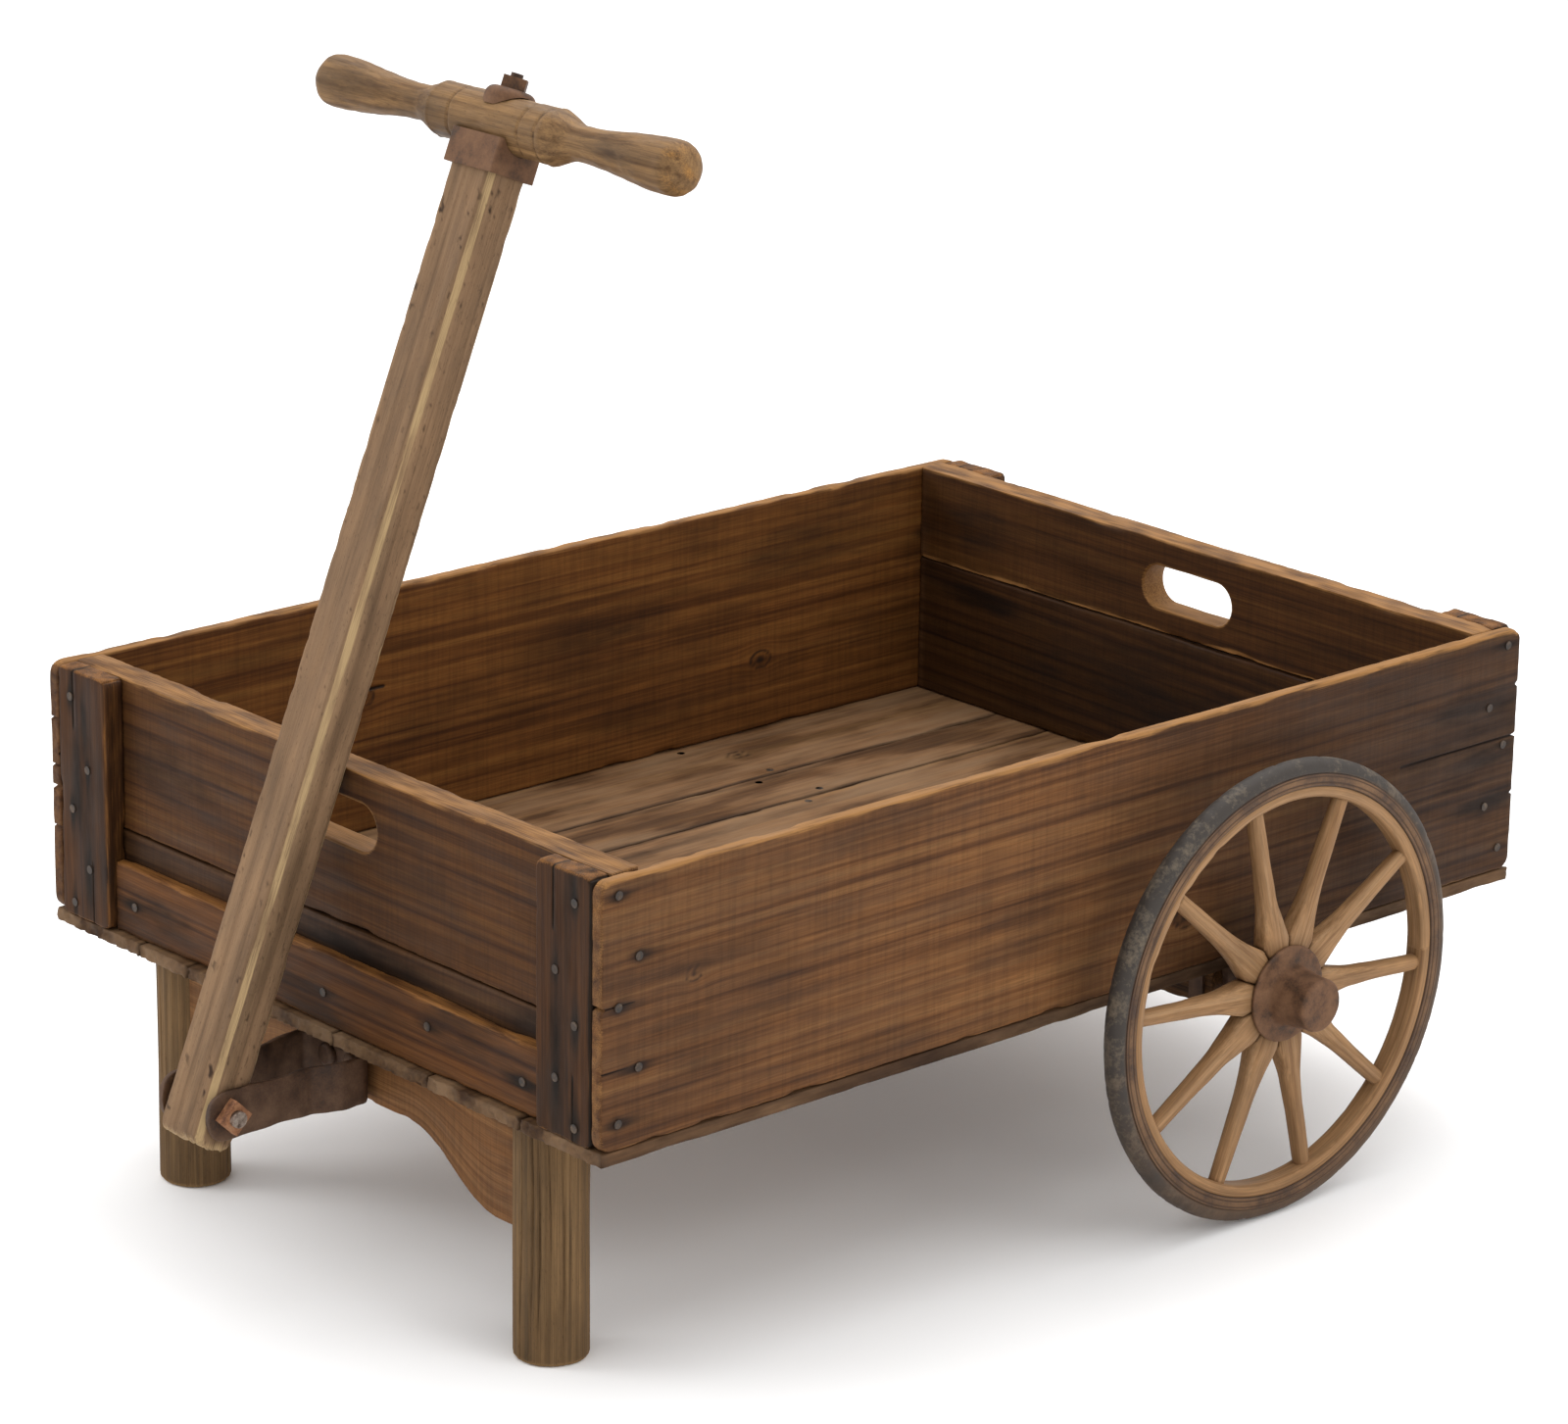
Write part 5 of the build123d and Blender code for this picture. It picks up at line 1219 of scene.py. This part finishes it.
class CartFelloes(bpy.types.Operator):
    """The bent wooden rims and their spokes"""
    bl_idname = "cart.felloes"
    bl_label = "Felloes and spokes"

    def execute(self, context):
        values = context.scene.cart_wheel
        finish = finishes()["wheel"]
        for side in SIDES:
            centre, inner, outer, half = wheel_place(side)
            self.felloe(side, centre, inner, outer, half, values.felloe_chips, finish)
            self.spokes(side, centre, inner, values.spokes, finish)
        return {"FINISHED"}

    def felloe(self, side, centre, inner, outer, half, chips, finish):
        """Section with rounded inner corners carried round the wheel; the inner edge is bitten
        where the positive part of a noise round the wheel is large."""
        soft = 2.2 * MM
        section = round_section([(-half, outer), (-half, inner + soft), (-half + soft, inner),
                                 (half - soft, inner), (half, inner + soft), (half, outer)],
                                1.6 * MM)
        turn, out, radius = ring_of(section, 420)
        arc = turn * inner
        spot = np.stack([np.cos(turn), np.sin(turn), out / (9 * MM)], -1).reshape(-1, 3)
        seed = 201 if side == "right" else 207
        bite = ripple(spot, (0.16, 0.16, 1.6), seed).reshape(turn.shape)
        bite = np.maximum(0, bite - 0.15) ** 1.3
        chewed = 0.25 + 0.75 * bell((turn - 2.5 + np.pi) % (2 * np.pi) - np.pi, 0.55)
        edge = bell(radius - inner, 2.4 * MM) * bell(np.abs(out) - half, 3.0 * MM)
        radius = radius + chips * bite * chewed * edge
        out = out * (1 - 0.16 * bite * chewed * edge)
        out = out * (1 - 0.008 * (1 + ripple(spot, (0.5, 0.5, 9), seed + 1).reshape(out.shape)))
        points, faces = loop_grid(around(centre, turn, out, radius))
        corner = bell(radius - inner, 1.8 * MM) * bell(np.abs(out) - half, 2.0 * MM)
        marks = {"grain": np.stack([arc, radius, out], -1).reshape(-1, 3) + [1, 2, 3],
                 "wear": np.clip(0.5 * corner + 0.8 * bite * edge, 0, 1).ravel(),
                 "stain": (0.5 * bell(radius - outer, 1.4 * MM)
                           + 0.45 * np.maximum(0, bite - 0.2) * edge).ravel(),
                 "inside": np.zeros(len(points))}
        piece(f"bent_felloe_{side}", points, faces, finish, f"wheel_{side}",
              [f"felloe_{side}"], marks)

    def spokes(self, side, centre, inner, count, finish):
        """Each spoke is a superellipse carried out from the hub. Its half width eases from the
        wedge between its neighbours to a round tip, and its power falls from 5 to 2.2."""
        cad = vertices_of(f"spokes_{side}") - centre
        spread = np.hypot(cad[:, 1], cad[:, 2])
        tips = cad[spread > 0.8 * inner]
        angles = np.arctan2(tips[:, 2], tips[:, 1])
        phase = np.angle(np.exp(1j * count * angles).mean()) / count
        r = np.concatenate([np.linspace(14 * MM, 90 * MM, 44), np.linspace(90 * MM, inner
                            + 1.5 * MM, 26)[1:]])
        marks_at = np.array([12, 40, 46, 52, 60, 70, 84, 105, 149]) * MM
        widths = np.array([18, 13.7, 12.4, 11.1, 9.7, 8.5, 7.6, 6.8, 6.3]) * MM
        wide = np.interp(r, marks_at, widths)
        thick = np.interp(r, marks_at, np.array([8, 8, 8, 7.9, 7.7, 7.3, 6.9, 6.6, 6.3]) * MM)
        window = np.hanning(9) / np.hanning(9).sum()
        wide, thick = [np.convolve(np.pad(row, 4, mode="edge"), window, mode="valid")
                       for row in (wide, thick)]
        wedge = r * math.tan(math.pi / count) - 0.05 * MM
        wide = np.minimum(wide, wedge)
        power = np.interp(r, np.array([14, 45, 75, 149]) * MM, [7, 5, 2.8, 2.2])
        turn = np.linspace(0, 2 * np.pi, 40, endpoint=False)
        c, s = np.cos(turn)[None], np.sin(turn)[None]
        reach = (np.abs(c) ** power[:, None] + np.abs(s) ** power[:, None]) ** (-1 / power[:, None])
        skins, lists, grains, darks, rubs = [], [], [], [], []
        offset = 0
        for number in range(count):
            rng = np.random.default_rng(211 + number + (40 if side == "left" else 0))
            axial, sideways = reach * c * thick[:, None], reach * s * wide[:, None]
            radial = np.repeat(r[:, None], len(turn), 1)
            spot = np.stack([radial, sideways, axial], -1).reshape(-1, 3) / MM + number * 500
            dented = 1 - 0.03 * (1 + ripple(spot, (30, 9, 9), 213).reshape(radial.shape))
            tapered = np.clip((radial - 50 * MM) / (20 * MM), 0, 1)
            dented = 1 - (1 - dented) * tapered
            axial, sideways = axial * dented, sideways * dented
            angle = phase + 2 * np.pi * number / count
            rings = np.stack([
                centre[0] + axial,
                centre[1] + radial * math.cos(angle) - sideways * math.sin(angle),
                centre[2] + radial * math.sin(angle) + sideways * math.cos(angle)], -1)
            first, last = rings[0].mean(0), rings[-1].mean(0)
            points, faces = tube(rings, first, last)
            skins.append(points)
            lists += [[v + offset for v in face] for face in faces]
            offset += len(points)
            lift = rng.uniform(1, 9, 3)
            grains.append(np.stack([np.append(radial, [r[0], r[-1]]),
                                    np.append(sideways, [0, 0]),
                                    np.append(axial, [0, 0])], -1) + lift)
            seam = bell(np.abs(sideways) - wedge[:, None], 1.0 * MM) * (radial < 48 * MM)
            hub = 0.42 * bell(radial - 34 * MM, 17 * MM) + 0.5 * bell(radial - inner, 1.6 * MM)
            hub = np.maximum(hub, 0.8 * seam)
            darks.append(np.append(np.clip(hub, 0, 1), [0, 0]))
            arm = 0.35 * bell(np.abs(sideways) - wide[:, None], 2 * MM) * (radial > 55 * MM)
            rubs.append(np.append(arm, [0, 0]))
        marks = {"grain": np.concatenate(grains), "stain": np.concatenate(darks),
                 "wear": np.concatenate(rubs), "inside": np.zeros(offset)}
        piece(f"shaved_spokes_{side}", np.concatenate(skins), lists, finish,
              f"wheel_{side}", [f"spokes_{side}"], marks)


class CartTyres(bpy.types.Operator):
    """The rolled steel channels and their solid rubber tyres"""
    bl_idname = "cart.tyres"
    bl_label = "Rims and tyres"

    def execute(self, context):
        for side in SIDES:
            centre, _, outer, _ = wheel_place(side)
            low, high = limits(f"rim_{side}")
            flange, wide = (high[2] - low[2]) / 2, (high[0] - low[0]) / 2
            low, high = limits(f"tyre_{side}")
            tread = (high[2] - low[2]) / 2
            self.rim(side, centre, outer, flange, wide)
            self.tyre(side, centre, outer, flange, wide, tread)
        return {"FINISHED"}

    def rim(self, side, centre, floor, flange, wide):
        """Channel section with two rolled grooves in each outer face, carried round."""
        wall = 2.5 * MM
        face = []
        for share in np.linspace(0, 1, 29):
            groove = 0.75 * MM * (math.exp(-((share - 0.30) / 0.07) ** 2)
                                  + 0.8 * math.exp(-((share - 0.80) / 0.06) ** 2))
            swell = 0.5 * MM * (2 * share - 1) ** 4
            face.append((wide - groove - swell, floor + share * (flange - floor)))
        lines = floor + np.array([0.02, 0.30, 0.80, 1.0]) * (flange - floor)
        inside = [(wide - wall, flange), (wide - wall, floor + wall)]
        corners = face + inside
        corners = corners + [(-x, r) for x, r in corners[::-1]]
        section = np.array(corners)
        turn, out, radius = ring_of(section, 360)
        spot = np.stack([np.cos(turn), np.sin(turn), out / (9 * MM)], -1).reshape(-1, 3)
        ding = ripple(spot, (0.22, 0.22, 3), 231).reshape(turn.shape)
        out = out * (1 - 0.012 * (1 + ding))
        points, faces = loop_grid(around(centre, turn, out, radius))
        dark = np.max([bell(radius - line, 0.55 * MM) for line in lines], axis=0)
        piece(f"rolled_rim_{side}", points, faces, finishes()["rim"], f"wheel_{side}",
              [f"rim_{side}"], {"stain": 0.85 * dark.ravel()})

    def tyre(self, side, centre, floor, flange, wide, tread):
        """Rounded rubber section seated in the channel, its tread flattened and nicked by a
        noise round the wheel."""
        crown = wide - 1 * MM
        seat = wide - 2.55 * MM
        angle = np.linspace(-0.15 * np.pi, 1.15 * np.pi, 27)
        rise = tread - flange
        arch = np.stack([crown * np.cos(angle), flange + 0.22 * rise + 0.78 * rise
                         * np.sin(angle)], 1)
        arch[:, 1] = np.maximum(arch[:, 1], flange - 0.4 * MM)
        feet = np.array([(-seat, flange - 1 * MM), (-seat, floor + 2.6 * MM), (0, floor + 2.6 * MM),
                         (seat, floor + 2.6 * MM), (seat, flange - 1 * MM)])
        section = np.concatenate([arch, feet])
        turn, out, radius = ring_of(section, 480)
        spot = np.stack([np.cos(turn), np.sin(turn), out / (9 * MM)], -1).reshape(-1, 3)
        proud = np.clip((radius - flange) / rise, 0, 1)
        worn = 0.35 * MM * (1 + ripple(spot, (0.5, 0.5, 2), 241).reshape(turn.shape))
        nicks = np.maximum(0, ripple(spot, (0.05, 0.05, 0.7), 242).reshape(turn.shape) - 0.45)
        radius = radius - proud * (worn + 1.1 * MM * nicks)
        out = out * (1 - 0.02 * proud * (1 + ripple(spot, (0.1, 0.1, 1), 243).reshape(out.shape)))
        points, faces = loop_grid(around(centre, turn, out, radius))
        low_down = 0.5 - 0.5 * np.sin(turn - 0.5)
        dirt = np.clip(0.65 * low_down ** 1.4 + 0.35 * bell(radius - flange, 1.5 * MM), 0, 1)
        piece(f"worn_tyre_{side}", points, faces, finishes()["tyre"], f"wheel_{side}",
              [f"tyre_{side}"], {"stain": dirt.ravel()})


class CartHubs(bpy.types.Operator):
    """The cast hub noses and the inner hub flanges"""
    bl_idname = "cart.hubs"
    bl_label = "Hubs"

    def execute(self, context):
        for side, sign in SIDES.items():
            centre = wheel_place(side)[0]
            self.nose(side, centre, sign)
            self.back(side, centre, sign)
        return {"FINISHED"}

    def turned(self, line, count, centre, sign, seed, rough):
        """Spins a line of out and radius about the wheel's axis, with cast roughness taken
        off the radius."""
        line = np.array(line) * MM
        turn = np.linspace(0, 2 * np.pi, count, endpoint=False)
        out = np.repeat(line[:, :1], count, 1)
        radius = np.repeat(line[:, 1:], count, 1)
        turn = np.repeat(turn[None], len(line), 0)
        spot = np.stack([out, radius * np.cos(turn), radius * np.sin(turn)], -1).reshape(-1, 3) / MM
        cast = 1 + ripple(spot, (9, 9, 9), seed) + 0.6 * ripple(spot, (4, 4, 4), seed + 1)
        radius = radius - rough * MM * np.clip(cast, 0, 2).reshape(out.shape) * (radius > 6 * MM)
        return np.stack([centre[0] + sign * out, centre[1] + radius * np.cos(turn),
                         centre[2] + radius * np.sin(turn)], -1)

    def nose(self, side, centre, sign):
        curve = [(11.0 + 0.4 * n, 31.5 - 1.6 * n ** 0.9) for n in range(0, 6)]
        taper = [(13.5 + 22 * t, 24.2 - 3.7 * t ** 0.6) for t in np.linspace(0.05, 1, 12)]
        dome = [(41.6 + 2.9 * math.sin(a), 17.6 + 2.9 * math.cos(a))
                for a in np.linspace(0, math.pi / 2, 6)]
        face = [(44.5, r) for r in (15.0, 11.0, 7.0, 3.5, 1.2)]
        outer = [(8.0, 12.2), (8.0, 24.0), (8.0, 36.4), (8.6, 37.0), (10.3, 37.0), (11.0, 36.3),
                 (11.1, 34.0)] + curve + taper + dome + face
        inner = [(40.0, 1.2), (40.0, 8.0), (40.0, 15.0), (26.0, 15.0), (11.0, 15.0),
                 (11.0, 12.2)]
        rings = self.turned(inner + outer, 110, centre, sign, 251, 0.14)
        points, faces = tube(rings, centre + [sign * 40 * MM, 0, 0],
                             centre + [sign * 44.5 * MM, 0, 0])
        piece(f"cast_nose_{side}", points, faces, finishes()["rust"], f"wheel_{side}",
              [f"hub_nose_{side}"])

    def back(self, side, centre, sign):
        line = [(-8.0, 12.0), (-8.0, 24.0), (-8.0, 36.4), (-8.6, 37.0), (-10.4, 37.0),
                (-11.0, 36.4), (-11.0, 28.0), (-11.0, 20.5), (-12.5, 18.3), (-16.0, 18.0),
                (-22.0, 18.0), (-25.4, 18.0), (-26.0, 17.4), (-26.0, 12.0), (-17.0, 12.0)]
        rings = self.turned(line, 96, centre, sign, 261, 0.0)
        points, faces = loop_grid(rings.transpose(1, 0, 2))
        piece(f"cast_flange_{side}", points, faces, finishes()["rust"], f"wheel_{side}",
              [f"hub_back_{side}"])


# ---- Iron left as the CAD has it ------------------------------------------------------
class CartIronwork(bpy.types.Operator):
    """Finishes for the nails, bolts, axle and other small iron"""
    bl_idname = "cart.ironwork"
    bl_label = "Ironwork"

    def execute(self, context):
        made = finishes()
        dress(made["nail"], "cleat_nails", "side_nails", "batten_nails", "floor_nails",
              "leg_screws")
        dress(made["bolt"], "pivot_bolt")
        dress(made["nut"], "pivot_nut")
        dress(made["forged"], "axle", "yoke_bolts", "yoke_nuts",
              "axle_clips", "axle_washers", "axle_nuts", "grip_rod", "hub_bush_left",
              "hub_bush_right")
        dress(made["rust"], "ferrule", "grip_washer", "grip_nut")
        return {"FINISHED"}


# ---- Stage ----------------------------------------------------------------------------
class CartStage(bpy.types.Operator):
    """Pale floor, soft lights and the camera"""
    bl_idname = "cart.stage"
    bl_label = "Stage"

    def execute(self, context):
        values = context.scene.cart_stage
        self.floor(values.floor)
        self.lights(context.scene, values.sky)
        self.camera(context.scene, values.lens)
        return {"FINISHED"}

    def floor(self, shade):
        """Flat square on the ground, wide enough to fill the view."""
        ground = CAD_BOUNDS[0][2]
        side = 15.0
        mesh = bpy.data.meshes.new("studio_floor")
        mesh.from_pydata([(-side, -side, ground), (side, -side, ground), (side, side, ground),
                          (-side, side, ground)], [], [(0, 1, 2, 3)])
        made = bpy.data.objects.new("studio_floor", mesh)
        bpy.context.scene.collection.objects.link(made)
        # Painted studio floor: pale and matt, so that it only shows soft shadows.
        finish, _, surface = new_finish("pale painted floor")
        surface.inputs["Base Color"].default_value = (*shade, 1.0)
        surface.inputs["Roughness"].default_value = 0.9
        surface.inputs["Specular IOR Level"].default_value = 0.1
        mesh.materials.append(finish)

    def lights(self, scene, sky):
        world = bpy.data.worlds.new("studio")
        world.use_nodes = True
        back = world.node_tree.nodes["Background"]
        back.inputs["Color"].default_value = (1, 1, 1, 1)
        back.inputs["Strength"].default_value = sky
        scene.world = world
        for name, place, aim, size, power in (
            ("ceiling", (-1.5, 2.0, 5.0), (-1.5, 2.0, 0.0), 10.0, 260.0),
            ("overhead_box", (-0.8, 0.9, 3.0), (0, 0, 0.2), 1.8, 34.0),
            ("front_box", (-2.8, -3.0, 2.4), (0, -0.2, 0.35), 1.8, 52.0),
            ("side_box", (3.8, 0.9, 2.2), (0, 0.1, 0.3), 2.4, 42.0),
        ):
            data = bpy.data.lights.new(name, "AREA")
            data.shape = "SQUARE"
            data.size = size
            data.energy = power
            made = bpy.data.objects.new(name, data)
            made.location = place
            made.visible_camera = False
            made.rotation_euler = (Vector(aim) - Vector(place)).to_track_quat("-Z", "Y").to_euler()
            scene.collection.objects.link(made)

    def camera(self, scene, lens):
        """Camera in front and to the right, looking slightly down and a little rolled."""
        front = limits("side_board_right")[0][1]
        yaw, pitch, roll = (math.radians(a) for a in (48.00478, -17.87002, 0.84991))
        ahead = Vector((-math.sin(yaw) * math.cos(pitch), math.cos(yaw) * math.cos(pitch),
                        math.sin(pitch)))
        right = Vector((math.cos(yaw), math.sin(yaw), 0))
        up = right.cross(ahead)
        across = right * math.cos(roll) + up * math.sin(roll)
        upward = -right * math.sin(roll) + up * math.cos(roll)
        data = bpy.data.cameras.new("studio_camera")
        data.lens = lens
        data.sensor_width = 36.0
        data.sensor_fit = "HORIZONTAL"
        data.clip_end = 60.0
        made = bpy.data.objects.new("studio_camera", data)
        scene.collection.objects.link(made)
        place = Vector((2.992617, front - 2.245569, 1.637189))
        rows = [(across[n], upward[n], -ahead[n], place[n]) for n in range(3)]
        made.matrix_world = Matrix((*rows, (0, 0, 0, 1)))
        scene.camera = made
        scene.view_settings.view_transform = "Standard"


class CartPanel(bpy.types.Panel):
    """Lists the cart's pieces and values"""
    bl_idname = "VIEW3D_PT_old_board_cart"
    bl_label = "Old Board Cart"
    bl_space_type = "VIEW_3D"
    bl_region_type = "UI"
    bl_category = "Cart"

    def draw(self, context):
        layout = self.layout
        for operator in OPERATORS:
            layout.operator(operator.bl_idname)
        for key, group in VALUES.items():
            values = getattr(context.scene, key)
            for field in group.__annotations__:
                layout.prop(values, field)


OPERATORS = (CartSideBoards, CartEndBoards, CartStrips, CartFloor, CartLegs, CartBrace,
             CartYoke, CartPole, CartGrip, CartFelloes, CartTyres, CartHubs, CartIronwork,
             CartStage)
VALUES = {"cart_box": CartBoxValues, "cart_pole": CartPoleValues,
          "cart_wheel": CartWheelValues, "cart_stage": CartStageValues}


def register():
    for group in (*VALUES.values(), *OPERATORS, CartPanel):
        bpy.utils.register_class(group)
    for key, group in VALUES.items():
        setattr(bpy.types.Scene, key, bpy.props.PointerProperty(type=group))


def unregister():
    for key in VALUES:
        delattr(bpy.types.Scene, key)
    for group in (CartPanel, *OPERATORS[::-1], *VALUES.values()):
        bpy.utils.unregister_class(group)


def main():
    register()
    for operator in OPERATORS:
        area, name = operator.bl_idname.split(".")
        if getattr(getattr(bpy.ops, area), name)() != {"FINISHED"}:
            raise RuntimeError(f"{operator.bl_label} could not be built")


if __name__ == "__main__":
    main()
